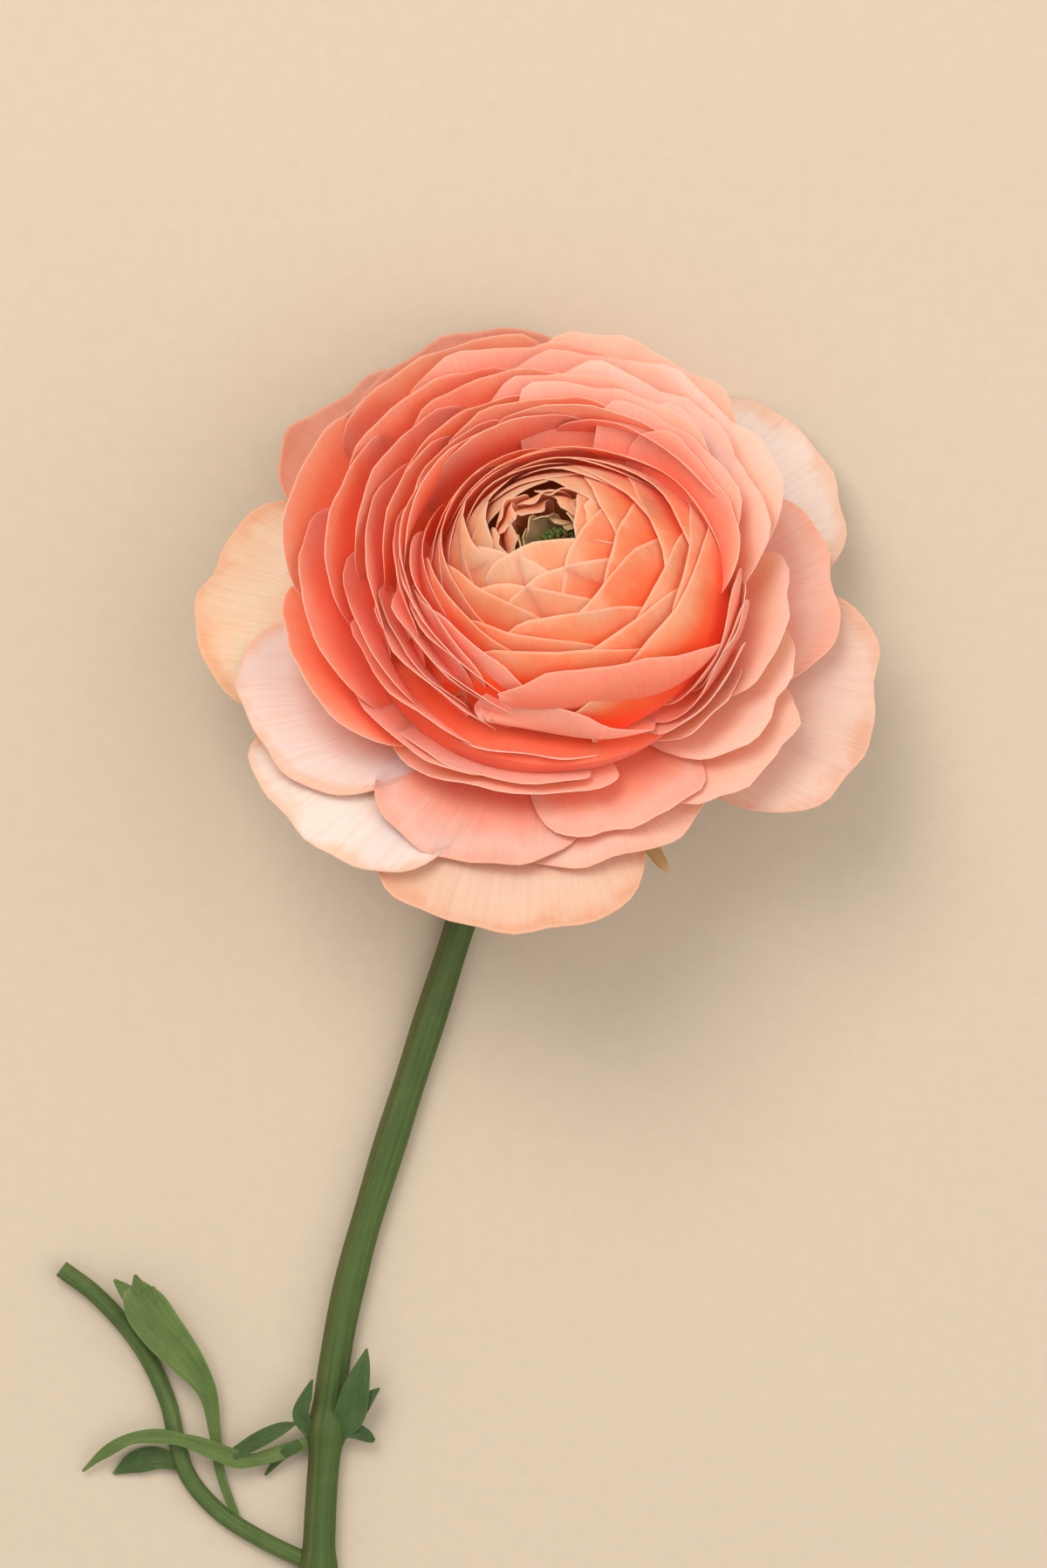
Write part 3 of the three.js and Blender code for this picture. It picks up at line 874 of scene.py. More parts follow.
@dataclass(frozen=True)
class GreenFinish:
    """The finish of the pieces that aren't petals: two colours along streaks, with a dry edge."""

    name: str
    light: Color
    dark: Color
    edge: Color
    edge_share: float = 0.4
    one_sided: float = 0.0
    streaks: float = 14.0
    margin: float = 0.12
    mottle: float = 260.0
    roughness: float = 0.55
    glow: float = 0.1
    bump: float = 0.4

    def build(self) -> bpy.types.Material:
        """Makes the material.

        Returns:
            A node material that reads the pieces' marks.
        """
        material, tree, shader = new_material(self.name)
        side, along, tinge = marks_of(tree, "mark")
        _, seed, shade = marks_of(tree, "hue")
        skin = place_group(tree, cell_mottle(), Scale=self.mottle)
        rim = place_group(tree, thin_margin(), Side=side, Along=along, Width=self.margin, Seed=seed)
        run = coordinates(side * self.streaks, along * 5.0, seed * 23.0)
        streak = run.noise(1.0, 2.0).span(0.35, 0.65)
        share = (streak * 0.5 + skin["Blotches"] * 0.5) * 0.45 + shade * 0.9
        color = blend((share - 0.18).clamped(), self.light, self.dark)
        edge = (rim["Margin"] * self.edge_share).larger(tinge * self.one_sided)
        inputs = {
            "Base Color": blend(edge, color, self.edge),
            "Roughness": streak * 0.12 + (self.roughness - 0.06),
            "Normal": (streak + skin["Cells"] * 0.4).bumped(self.bump, 0.0002),
            "Subsurface Weight": self.glow,
            "Subsurface Radius": (0.6, 1.0, 0.25),
            "Subsurface Scale": 0.0012,
            "Specular IOR Level": 0.4,
        }
        feed(shader, inputs)
        return material


BLUSH: Stops = (
    (0.30, srgb(222, 66, 34)),
    (0.58, srgb(236, 100, 68)),
    (0.78, srgb(240, 144, 118)),
    (0.92, srgb(242, 180, 162)),
    (1.00, srgb(240, 166, 146)),
)

# Painted shade: a dull brown run for petals that lie in the bloom's shadow.
PAINTED_SHADE: Stops = (
    (0.20, srgb(196, 66, 36)),
    (0.50, srgb(212, 100, 74)),
    (0.78, srgb(216, 126, 100)),
    (0.94, srgb(212, 132, 108)),
    (1.00, srgb(206, 122, 98)),
)

# In the heart and cup finishes the runs darken towards the claw, partly the petals' own deeper colour and
# partly painted shade deep in the bloom.
HEART_FINISH = PetalFinish(
    name="heart_petal_skin",
    warm=(
        (0.25, srgb(222, 40, 4)),
        (0.74, srgb(245, 66, 14)),
        (0.88, srgb(247, 86, 32)),
        (0.96, srgb(247, 108, 60)),
        (1.00, srgb(246, 132, 92)),
    ),
    soft=(
        # Painted shade: the dull brown first stop darkens the innermost petals and the core deep in the eye.
        (0.25, srgb(128, 78, 40)),
        (0.62, srgb(222, 136, 88)),
        (0.82, srgb(247, 144, 98)),
        (0.93, srgb(248, 160, 118)),
        (1.00, srgb(249, 178, 140)),
    ),
    flush=BLUSH,
    shadow=PAINTED_SHADE,
    rim=srgb(252, 196, 164),
    vein=srgb(236, 140, 108),
    vein_share=0.1,
    dust=srgb(246, 168, 130),
    dust_share=0.5,
    painted_glow=(
        (0.50, (0.12, 0.018, 0.002)),
        (0.80, (0.08, 0.012, 0.002)),
        (0.95, (0.02, 0.004, 0.001)),
    ),
)

CUP_FINISH = PetalFinish(
    name="coral_petal_skin",
    warm=(
        (0.25, srgb(204, 36, 8)),
        (0.55, srgb(236, 62, 24)),
        (0.80, srgb(246, 86, 44)),
        (0.93, srgb(247, 110, 76)),
        (1.00, srgb(242, 134, 110)),
    ),
    soft=(
        (0.25, srgb(242, 122, 82)),
        (0.45, srgb(253, 172, 140)),
        (0.65, srgb(254, 190, 164)),
        (0.87, srgb(254, 198, 178)),
        (1.00, srgb(254, 202, 184)),
    ),
    flush=BLUSH,
    shadow=PAINTED_SHADE,
    rim=srgb(250, 186, 162),
    vein=srgb(232, 136, 112),
    vein_share=0.1,
    dust=srgb(242, 144, 118),
    dust_share=0.4,
    painted_glow=(
        (0.30, (0.10, 0.018, 0.003)),
        (0.70, (0.10, 0.020, 0.004)),
        (0.93, (0.05, 0.013, 0.005)),
    ),
)

# Its runs darken towards the claw as painted shade where the guard petals pass under the bloom.
GUARD_FINISH = PetalFinish(
    name="pale_petal_skin",
    warm=(
        (0.35, srgb(190, 112, 80)),
        (0.58, srgb(212, 170, 136)),
        (0.80, srgb(228, 206, 178)),
        (0.93, srgb(228, 188, 154)),
        (1.00, srgb(224, 160, 120)),
    ),
    soft=(
        (0.35, srgb(208, 122, 98)),
        (0.60, srgb(228, 182, 166)),
        (0.82, srgb(238, 214, 206)),
        (0.95, srgb(238, 212, 202)),
        (1.00, srgb(232, 190, 168)),
    ),
    flush=BLUSH,
    shadow=PAINTED_SHADE,
    rim=srgb(242, 176, 148),
    vein=srgb(230, 180, 160),
    vein_share=0.2,
    dust=srgb(234, 188, 180),
    dust_share=0.25,
    glow=0.3,
    painted_glow=((0.20, (0.03, 0.004, 0.001)), (0.50, BLACK)),
)

CARPEL_FINISH = GreenFinish(
    name="carpel_skin", light=srgb(86, 102, 38), dark=srgb(92, 30, 24), edge=srgb(142, 146, 88),
    edge_share=0.5, streaks=4.0, roughness=0.4, bump=0.6,
)
# Its near-black dark colour is mostly painted shade, on the lining of the eye's hollow; on the blades it
# darkens streaks and blotches.
STAMEN_FINISH = GreenFinish(
    name="dry_stamen_skin", light=srgb(230, 192, 142), dark=srgb(40, 24, 8), edge=srgb(238, 206, 158),
    edge_share=0.5, streaks=6.0,
)
SEPAL_FINISH = GreenFinish(
    name="dry_sepal_skin", light=srgb(212, 182, 132), dark=srgb(176, 144, 94), edge=srgb(168, 130, 82),
    edge_share=0.5, streaks=18.0,
)
STEM_FINISH = GreenFinish(
    name="green_stem_skin", light=srgb(72, 96, 29), dark=srgb(42, 60, 15), edge=srgb(88, 80, 40),
    edge_share=0.0, streaks=9.0, one_sided=0.45, bump=0.5,
)
LEAF_FINISH = GreenFinish(
    name="green_leaf_skin", light=srgb(78, 104, 52), dark=srgb(44, 66, 28), edge=srgb(112, 126, 78),
)
PALE_LEAF_FINISH = GreenFinish(
    name="pale_leaf_skin", light=srgb(98, 118, 54), dark=srgb(50, 74, 28), edge=srgb(150, 156, 100),
)


def dress(piece: bpy.types.Object, material: bpy.types.Material, node: str) -> None:
    """Gives a piece its material and ties it to the frame.

    Args:
        piece: The object.
        material: Its finish.
        node: The CAD node that it stands for.
    """
    piece.data.materials.append(material)
    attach(piece, "root")
    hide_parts(node)
    LOG.info("%s: %d faces", piece.name, len(piece.data.polygons))


def facing(turn: float, toward: float) -> float:
    """How squarely a petal faces a direction.

    Args:
        turn: The petal's turn about the bloom's axis, in degrees.
        toward: The direction, in degrees.

    Returns:
        1 straight towards it, falling to 0 at a quarter turn and beyond.
    """
    return max(math.cos(math.radians(turn - toward)), 0.0)


@dataclass
class Heart:
    """The ball of incurved petals wound round the eye."""

    petals: int = 40
    radius: float = 20.6
    inner_radius: float = 12.0
    middle: float = 19.2
    top: float = 14.2
    inner_top: float = 12.2
    close: float = 104.0
    inner_close: float = 156.0
    front_close: float = 117.0
    front_turn: float = -78.0
    eye: float = 5.6
    eye_turn: float = 110.0
    eye_shift: float = 15.0
    wide_turn: float = -33.0
    glow_turn: float = -15.0
    lining_petals: int = 10
    seed: int = 4

    def closing(self, age: float, turn: float, chance: float) -> float:
        """How far a petal's middle line turns over.

        Args:
            age: 0 for the innermost petal and 1 for the outermost.
            turn: Its turn about the bloom's axis, in degrees.
            chance: A draw from 0 to 1.

        Returns:
            The angle at its tip, in radians, where a quarter turn is upright.
        """
        toward_eye = math.cos(math.radians(turn - self.eye_turn))
        close = mix(self.inner_close, self.close, age**0.9) - (1.0 - age) * self.eye_shift * toward_eye
        close += 4.0 * (chance - 0.5)
        shut = max(close, self.front_close + 0.3 * (close - self.close))
        fronting = float(smooth(facing(turn, self.front_turn), 0.0, 0.6))
        return math.radians(mix(close, shut, fronting))

    def places(self) -> list[Petal]:
        """The petals from the innermost to the outermost.

        Returns:
            The petals, each larger than the last and ending lower.
        """
        draw = np.random.default_rng(self.seed)
        found = []
        for n in range(self.petals):
            age = n / (self.petals - 1)
            turn = n * GOLDEN_TURN + 12.0 * (draw.random() - 0.5)
            radius = mix(self.inner_radius, self.radius, age**0.85)
            top = mix(self.inner_top, self.top, math.sqrt(age))
            close = self.closing(age, turn, draw.random())
            wider = 6.0 * age * facing(turn, self.wide_turn) ** 4
            # Petals facing glow_turn, on the ball's right, get a warmer tone, which also strengthens their
            # painted glow.
            glow = 0.75 * facing(turn, self.glow_turn)
            found.append(
                Petal(
                    turn=turn,
                    root=(4.2, 9.5 - 2.0 * age),
                    tip=(radius * math.sin(close), self.middle - top * math.cos(close)),
                    out=-8.0,
                    end=math.degrees(close) + 4.0,
                    reach=(mix(1.02, 0.95, age), mix(0.62, 0.42, age)),
                    fan=mix(20.0, 42.0, age) + wider + 3.0 * draw.random(),
                    hug=0.98,
                    lean=0.03 + 0.04 * draw.random(),
                    wave=0.2,
                    phase=6.3 * draw.random(),
                    start=0.55,
                    frill=0.005,
                    slant=0.12 * (draw.random() - 0.5),
                    blunt=mix(5.0, 3.4, age),
                    round=0.36,
                    square=mix(0.0, 0.9, age),
                    tone=min(max(age * 1.3 - 0.05 + 0.2 * (draw.random() - 0.5) + glow, 0.0), 1.0),
                )
            )
        return found

    def lining(self) -> list[Petal]:
        """The small curled petals that stand round the far side of the eye.

        Returns:
            The petals from right to left.
        """
        draw = np.random.default_rng(self.seed + 1)
        found = []
        for n in range(self.lining_petals):
            tier = n % 3
            found.append(
                Petal(
                    turn=10.0 + 21.0 * n + 10.0 * draw.random(),
                    root=(self.eye + 0.8, 21.6),
                    tip=(6.2 - 0.9 * tier, 30.2 - 0.7 * tier + 0.6 * draw.random()),
                    out=74.0,
                    end=140.0 + 10.0 * tier + 14.0 * draw.random(),
                    reach=(0.5, 0.4),
                    fan=26.0 + 4.0 * draw.random(),
                    hug=0.95,
                    lean=0.3 * (draw.random() - 0.5),
                    wave=0.5,
                    phase=6.3 * draw.random(),
                    start=0.05,
                    claw=1.4,
                    frill=0.02,
                    thick=0.25,
                    tone=0.0,
                )
            )
        return found

    def build(self) -> None:
        """Makes the heart's piece."""
        shape = Shape()
        core = [
            (2.9, 7.2), (9.6, 7.2), (17.2, 11.6), (18.6, 16.5), (17.4, 19.6), (14.0, 22.0),
            (10.0, 23.0), (6.9, 22.4), (self.eye, 21.6), (self.eye, 20.0), (2.9, 20.0),
        ]
        # The core takes the brown start of the pale run: a wall of painted shade inside the eye.
        lathe(shape, core, 0.0, tone=0.0)
        grow(shape, [*self.lining(), *self.places()])
        dress(shape.build("heart_whorl"), HEART_FINISH.build(), "heart_petals")


@dataclass(frozen=True)
class FrontPlace:
    """Where one petal of the front stands: its turn, the place of its rim and its tones."""

    turn: float
    reach: float
    height: float
    end: float
    fan: float
    lean: float = 0.04
    slant: float = 0.0
    square: float = 0.9
    hug: float = 0.86
    tone: float = 0.7
    flush: float = 0.0


@dataclass
class Cups:
    """The wide coral petals nested round the heart, with the open shells in front.

    Each bulge of the rim is its depth in mm, its direction in degrees and how narrow it is.
    """

    petals: int = 62
    first_turn: float = 145.0
    inner_rim: float = 20.6
    outer_rim: float = 38.4
    left_rim: float = 2.2
    bulges: tuple[tuple[float, float, int], ...] = ((3.0, 40.1, 4), (-3.0, -160.4, 4), (-2.2, 120.3, 8))
    flare_turn: float = 22.9
    flare_end: float = 24.0
    edge_turn: float = -143.2
    edge_end: float = 66.0
    pale_turn: float = 28.6
    front_turn: float = -70.0
    front_reach: float = 0.45
    right_turn: float = -24.0
    right_reach: float = 0.72
    right_rim: float = 23.0
    seed: int = 7

    def nested(self) -> list[Petal]:
        """The cups: steep at the back and left, and opening to the sides.

        Returns:
            The petals that the front leaves room for.
        """
        draw = np.random.default_rng(self.seed)
        found = []
        for n in range(self.petals):
            age = n / (self.petals - 1)
            turn = self.first_turn + n * GOLDEN_TURN + 12.0 * (draw.random() - 0.5)
            left = -math.cos(math.radians(turn))
            wide = ((1.0 - math.sin(math.radians(turn))) / 2.0) ** (1.0 + 0.7 * max(left, 0.0))
            spread = age ** mix(1.15, 1.5 if left > 0.0 else 0.7, abs(left))
            rim = mix(self.inner_rim, self.outer_rim + self.left_rim * left, spread)
            rim += wide * mix(4.0, -1.5, age)
            rim += age * sum(depth * facing(turn, toward) ** narrow for depth, toward, narrow in self.bulges)
            height = mix(mix(27.5, 24.2, age), mix(20.0, 3.0, age), wide)
            end = mix(mix(110.0, 74.0, age), mix(110.0, 15.0, age), wide)
            edge_on = facing(turn, self.edge_turn) ** 6 * float(smooth(rim, 21.5, 23.0))
            end = mix(end, min(end, self.edge_end), edge_on)
            flare = facing(turn, self.flare_turn) * float(smooth(rim, 22.0, 26.0))
            petal = Petal(
                turn=turn,
                root=(5.0, 6.0 - 6.0 * age),
                tip=(rim, height + 0.8 * (draw.random() - 0.5)),
                out=0.0,
                end=mix(end, self.flare_end, flare),
                reach=(mix(0.8, 0.5, age), mix(0.6, 0.45, age)),
                fan=33.0 + 5.0 * (draw.random() - 0.5),
                hug=mix(0.95, 0.8, age),
                lean=0.05,
                blunt=3.8,
                round=0.42,
                square=0.6,
                wave=0.3,
                phase=6.3 * draw.random(),
                start=mix(0.45, 0.35, age),
                frill=0.012,
                roll=0.5 * age * draw.random(),
                tone=0.86
                + 0.28 * (draw.random() - 0.5)
                - 0.68 * facing(turn, self.pale_turn) * min(2.5 * age, 1.0),
            )
            in_front = facing(turn, self.front_turn) > self.front_reach - 0.35 * age
            at_right = facing(turn, self.right_turn) > self.right_reach and rim > self.right_rim
            if not in_front and not at_right:
                found.append(petal)
        return found

    def front(self) -> list[Petal]:
        """The petals of the front, each set one by one.

        Returns:
            Incurved crescents under the heart, open shells below and tall petals at the right.
        """
        places = (
            FrontPlace(-160, 20.7, 24.6, 102, 38, lean=0.0, hug=0.85, tone=0.8),
            FrontPlace(-138, 19.9, 24.8, 112, 34, lean=0.04, hug=0.85, tone=0.7),
            FrontPlace(-70, 20.4, 25.0, 118, 44, lean=-0.09, hug=0.78, tone=0.82, slant=-0.05),
            FrontPlace(-84, 22.8, 17.6, 112, 40, lean=-0.17, hug=0.75, tone=0.62, slant=-0.24),
            FrontPlace(-30, 23.8, 20.0, 96, 34, lean=0.03, hug=0.84, square=0.5, tone=0.8, slant=0.27),
            FrontPlace(-36, 25.2, 17.2, 94, 34, lean=0.03, hug=0.84, square=0.5, tone=0.7, slant=0.30),
            FrontPlace(-140, 22.6, 21.8, 64, 41, lean=0.0, hug=0.84, square=0.2, tone=0.8, slant=-0.12),
            FrontPlace(-143, 24.2, 20.6, 62, 40, lean=0.0, hug=0.84, square=0.2, tone=0.75, slant=-0.12),
            FrontPlace(-22, 25.0, 19.0, 84, 24, tone=0.3, slant=0.08),
            FrontPlace(-38, 27.4, 15.8, 76, 24, tone=0.3, slant=0.08),
            FrontPlace(-146, 26.2, 18.8, 60, 40, lean=0.0, hug=0.84, square=0.2, tone=0.7, slant=-0.10),
            FrontPlace(-101, 25.2, 10.8, 54, 39, lean=0.05, tone=0.25, square=0.7),
            FrontPlace(-36, 29.2, 13.0, 58, 20, tone=0.1, square=0.4),
            FrontPlace(-110, 28.2, 9.2, 48, 43, tone=0.25, square=0.7),
            FrontPlace(-147, 28.6, 15.8, 58, 39, lean=0.0, tone=0.65, square=0.2, slant=-0.08),
            FrontPlace(-6, 34.2, 16.2, 42, 29, tone=0.0, square=0.3),
            FrontPlace(-104, 29.4, 8.0, 42, 47, lean=0.08, tone=0.3, square=0.7),
            FrontPlace(-138, 30.4, 11.2, 56, 36, tone=0.4, square=0.6),
            FrontPlace(-24, 36.8, 11.2, 34, 29, tone=0.0, square=0.3),
            FrontPlace(-66, 35.2, 5.8, 22, 33, tone=0.35, flush=0.7, square=0.3),
            FrontPlace(-35, 39.6, 7.8, 24, 29, tone=0.1, flush=0.3, square=0.3),
        )
        found = []
        for n, place in enumerate(places):
            shut = float(smooth(place.end, 60.0, 80.0))
            found.append(
                Petal(
                    turn=place.turn,
                    root=(5.0, mix(5.0 - 0.24 * n, 6.5, shut)),
                    tip=(place.reach, place.height),
                    out=mix(0.0, 26.0, shut),
                    end=place.end,
                    reach=(0.55, mix(0.3, 0.45, shut)),
                    fan=place.fan,
                    hug=place.hug,
                    lean=place.lean,
                    wave=0.35,
                    phase=1.3 * n,
                    start=0.4,
                    frill=mix(0.018, 0.009, shut),
                    slant=place.slant,
                    square=place.square,
                    blunt=mix(3.0, 4.2, place.square),
                    round=0.45,
                    tone=place.tone,
                    shade=place.flush,
                )
            )
        return found

    def build(self) -> None:
        """Makes the cups' piece."""
        shape = Shape()
        core = [
            (2.9, 0.6), (9.0, 0.6), (18.0, 1.6), (24.4, 5.6), (25.2, 9.4), (22.4, 10.2), (16.5, 7.0),
            (2.9, 6.8),
        ]
        lathe(shape, core, 0.0)
        grow(shape, [*self.nested(), *self.front()])
        dress(shape.build("cup_whorl"), CUP_FINISH.build(), "cup_petals")


@dataclass
class Guards:
    """The lowest whorl, pale and almost flat."""

    def places(self) -> list[Petal]:
        """The petals, given one by one: turn, root, tip, fan, end, tone and flush, where a negative flush is
        painted shade.

        Returns:
            The whorl's petals, from its left round to its right and back.
        """
        # A negative flush puts painted shade on the guards at the bottom, the right and the top, where the
        # bloom shades them.
        places = (
            (169, (5, -1.2), (48.2, 2.6), 38, 8, 0.9, 0.0),
            (201, (5, -0.4), (43.2, 5.6), 35, 14, 0.1, 0.0),
            (223, (5, -0.8), (46.0, 3.0), 35, 8, 0.1, 0.0),
            (253, (5, -0.2), (38.4, 3.8), 38, 12, 0.1, 0.85),
            (263, (5, -1.3), (47.0, 1.0), 41, 0, 0.7, -0.3),
            (288, (5, -0.5), (38.2, 3.0), 40, 10, 0.4, 0.8),
            (346, (5, -1.3), (48.5, 0.0), 38, 0, 0.25, -0.3),
            (14, (5, 0.0), (42.5, 6.0), 36, 20, 0.1, 0.8),
            (41, (5, -0.9), (50.3, 3.45), 35, -4, 0.2, 0.0),
            (104, (5, -0.2), (48.2, 10.4), 34, 30, 0.6, -1.0),
            (126, (5, -0.3), (49.4, 6.2), 30, 16, 0.6, -0.9),
        )
        return [
            Petal(
                turn=turn, root=root, tip=tip, out=2.0, end=end, reach=(0.4, 0.4), fan=fan,
                hug=0.6, lean=0.02, wave=1.15, phase=1.7 * n, start=0.25, frill=0.012,
                thick=0.5, thin=0.18, tone=tone, shade=flush,
            )
            for n, (turn, root, tip, fan, end, tone, flush) in enumerate(places)
        ]

    def build(self) -> None:
        """Makes the guard petals' piece."""
        shape = Shape()
        lathe(shape, [(2.9, -1.7), (8.0, -1.7), (13.0, -0.8), (13.0, 0.1), (2.9, 0.2)], 0.0)
        grow(shape, self.places(), 40, 28)
        dress(shape.build("guard_whorl"), GUARD_FINISH.build(), "guard_petals")


@dataclass
class Eye:
    """The carpels and the dry stamens in the hollow of the heart."""

    grains: int = 150
    grain_rings: int = 6
    grain_sides: int = 6
    radius: float = 3.0
    rise: float = 3.3
    middle: float = 23.9
    blades: int = 9
    blade_turn: float = 152.0
    blade_spread: float = 230.0

    def carpels(self) -> None:
        """Makes the head of small pointed carpels."""
        shape = Shape()
        draw = np.random.default_rng(3)
        for n in range(self.grains):
            height = 1.0 - 1.75 * (n + 0.5) / self.grains
            turn = math.radians(n * GOLDEN_TURN)
            flat = math.sqrt(max(1.0 - height * height, 0.0))
            out = np.array([flat * math.cos(turn), flat * math.sin(turn), height])
            seat = out * np.array([self.radius, self.radius, self.rise])
            size = 0.34 + 0.12 * draw.random()
            first = np.cross(out, [0.3, 0.5, 0.81])
            first /= np.linalg.norm(first)
            second = np.cross(out, first)
            spots = []
            for level in np.linspace(0.0, 1.0, self.grain_rings):
                wide = size * math.sin(math.pi * (0.18 + 0.8 * level)) ** 0.8
                for angle in np.linspace(0.0, 2.0 * math.pi, self.grain_sides, endpoint=False):
                    around = first * math.cos(angle) + second * math.sin(angle)
                    spots.append(seat + out * (level * size * 2.4 - 0.35) + around * wide)
            points = np.array(spots)
            points[:, 2] += self.middle
            points[:, 0] += sway(np.zeros(len(points)), points[:, 2])
            levels = np.repeat(np.linspace(0.2, 0.98, self.grain_rings), self.grain_sides)
            marks = np.stack([np.zeros(len(points)), levels, np.zeros(len(points))], axis=1)
            hue = min(max(0.7 * draw.random() + 0.6 * math.cos(turn + 0.6), 0.0), 1.0)
            hues = np.tile([1.0, draw.random(), hue], (len(points), 1))
            faces = tube_faces(self.grain_rings, self.grain_sides)
            shape.add(bloom_to_world(points), faces, marks, hues)
        core = [(0.3, -3.0), (2.7, -1.5), (2.7, 1.2), (0.3, 3.0)]
        lathe(shape, [(radius, self.middle + rise) for radius, rise in core], 0.9, 20)
        dress(shape.build("carpels"), CARPEL_FINISH.build(), "carpel_head")

    def stamens(self) -> None:
        """Makes the ring of small dry curled blades, and a near-black lining of painted shade in the hollow.
        """
        shape = Shape()
        draw = np.random.default_rng(5)
        # Painted shade: a near-black lining round the foot of the eye's hollow.
        painted_shade_cup = [
            (0.6, 20.2), (5.0, 20.2), (5.15, 22.0), (5.3, 23.4), (5.2, 23.6), (4.9, 22.4), (4.7, 20.8),
            (0.6, 20.6),
        ]
        lathe(shape, painted_shade_cup, 1.0)
        for n in range(self.blades):
            tier = n % 3
            petal = Petal(
                turn=self.blade_turn + self.blade_spread * ((n * GOLDEN_SHARE) % 1.0 - 0.5),
                root=(4.4, 20.8),
                tip=(4.4 - 0.7 * tier, 28.6 - 1.0 * tier + 0.8 * draw.random()),
                out=92.0, end=100.0 + 22.0 * tier + 16.0 * draw.random(), reach=(0.4, 0.4), fan=19.0,
                claw=0.8, hug=0.5, lean=0.5 * (draw.random() - 0.5), wave=0.5, lobes=2.0,
                phase=6.3 * draw.random(), start=0.02, frill=0.05, thick=0.24, thin=0.14,
                tone=draw.random(), shade=0.3 * draw.random() - 0.1,
            )
            petal.build(shape, draw.random(), 10, 12)
        dress(shape.build("dry_stamens"), STAMEN_FINISH.build(), "stamens")


@dataclass
class Sepals:
    """The narrow dry blades behind the guard petals."""

    def build(self) -> None:
        """Makes the sepals' piece."""
        shape = Shape()
        lathe(shape, [(2.9, -3.6), (4.6, -3.6), (5.6, -2.0), (2.9, -2.0)], 0.5, 32)
        places = (
            (297, (39.5, -3.2), 3.6),
            (331, (33.5, -3.4), 5),
            (60, (19.0, -7.0), 12),
            (145, (20.0, -7.0), 12),
            (220, (21.0, -6.0), 12),
        )
        for n, (turn, tip, fan) in enumerate(places):
            petal = Petal(
                turn=turn, root=(4.0, -2.9), tip=tip, out=-8.0, end=6.0, reach=(0.4, 0.4), fan=fan,
                claw=1.6, hug=0.3, lean=0.0, wave=0.15, blunt=2.0, round=0.8, start=0.02,
                thick=0.4, thin=0.2, phase=2.0 * n, frill=0.006, shade=0.3,
            )
            petal.build(shape, 0.37 * n, 14, 24)
        dress(shape.build("dry_sepals"), SEPAL_FINISH.build(), "sepals")


def spline(points: np.ndarray, samples: int) -> np.ndarray:
    """A smooth centripetal curve through points.

    Args:
        points: Rows of x, y, z and any further values.
        samples: How many rows come back.

    Returns:
        Rows along the curve, evenly spaced by point number.
    """
    before = 2.0 * points[0] - points[1]
    after = 2.0 * points[-1] - points[-2]
    rows = np.vstack([before, points, after])
    found = []
    for t in np.linspace(0.0, len(points) - 1.000001, samples):
        k = int(t)
        w = t - k
        p0, p1, p2, p3 = rows[k : k + 4]
        gaps = ((p0, p1), (p1, p2), (p2, p3))
        d0, d1, d2 = (max(float(np.linalg.norm((b - a)[:3])) ** 0.5, 1e-4) for a, b in gaps)
        m1 = ((p1 - p0) / d0 - (p2 - p0) / (d0 + d1) + (p2 - p1) / d1) * d1
        m2 = ((p2 - p1) / d1 - (p3 - p1) / (d1 + d2) + (p3 - p2) / d2) * d1
        w2, w3 = w * w, w**3
        ends = (2 * w3 - 3 * w2 + 1) * p1 + (3 * w2 - 2 * w3) * p2
        found.append(ends + (w3 - 2 * w2 + w) * m1 + (w3 - w2) * m2)
    return np.array(found)


def unit(rows: np.ndarray) -> np.ndarray:
    """Rows of vectors, each made one long."""
    return rows / np.linalg.norm(rows, axis=1, keepdims=True)


@dataclass(frozen=True)
class Stalk:
    """A ridged stalk along a route, pressed flat where it reaches the surface.

    The route's points are x, y and z in mm. The ridge is a share of the radius, and a joint is a
    place along Y with how far the stalk swells there.
    """

    route: tuple[Spot, ...]
    radius: float
    samples: int
    sides: int
    ridge: float
    seed: float
    shade: float
    uneven: Pair = (0.0, 0.0)
    joints: tuple[Pair, ...] = ()
    joint_reach: float = 2.0
    thickest: float = 2.9
    clearance: float = 0.02

    def widths(self, line: np.ndarray) -> np.ndarray:
        """The stalk's radius along its line.

        Args:
            line: Rows of x, y and z.

        Returns:
            A radius for each row, in mm.
        """
        y = line[:, 1]
        radius = np.full(len(line), self.radius)
        radius += self.uneven[0] * np.sin(y * 0.33) + self.uneven[1] * np.sin(y * 0.13 + 1.0)
        for place, swell in self.joints:
            radius += swell * np.exp(-(((y - place) / self.joint_reach) ** 2))
        return np.minimum(radius, self.thickest)

    def add(self, shape: Shape) -> None:
        """Adds the stalk to a shape.

        Args:
            shape: What it is added to.
        """
        line = spline(np.array(self.route, dtype=float), self.samples)
        heading = unit(np.gradient(line, axis=0))
        right = unit(np.cross(heading, [0.0, 0.0, 1.0]))
        upper = np.cross(right, heading)
        angles = np.linspace(0.0, 2.0 * math.pi, self.sides, endpoint=False)
        swell = 1.0 + self.ridge * np.sin(9.0 * angles) + 0.5 * self.ridge * np.sin(5.0 * angles + 1.0)
        rings = []
        for spot, radius, side, up in zip(line, self.widths(line), right, upper):
            around = np.cos(angles)[:, None] * side + np.sin(angles)[:, None] * up
            rings.append(spot + around * (radius * swell)[:, None])
        points = np.concatenate(rings)
        points[:, 2] = np.maximum(points[:, 2], self.clearance)
        count = len(line)
        around = np.tile((angles / math.pi - 1.0) * 0.9, count)
        run = np.repeat(np.linspace(0.0, 0.9, count), self.sides)
        tinge = np.tile(smooth(np.cos(angles), 0.0, 0.95), count)
        hues = np.tile([1.0, self.seed, self.shade], (len(points), 1))
        marks = np.stack([around, run, tinge], axis=1)
        shape.add(surface_to_world(points), tube_faces(count, self.sides), marks, hues)


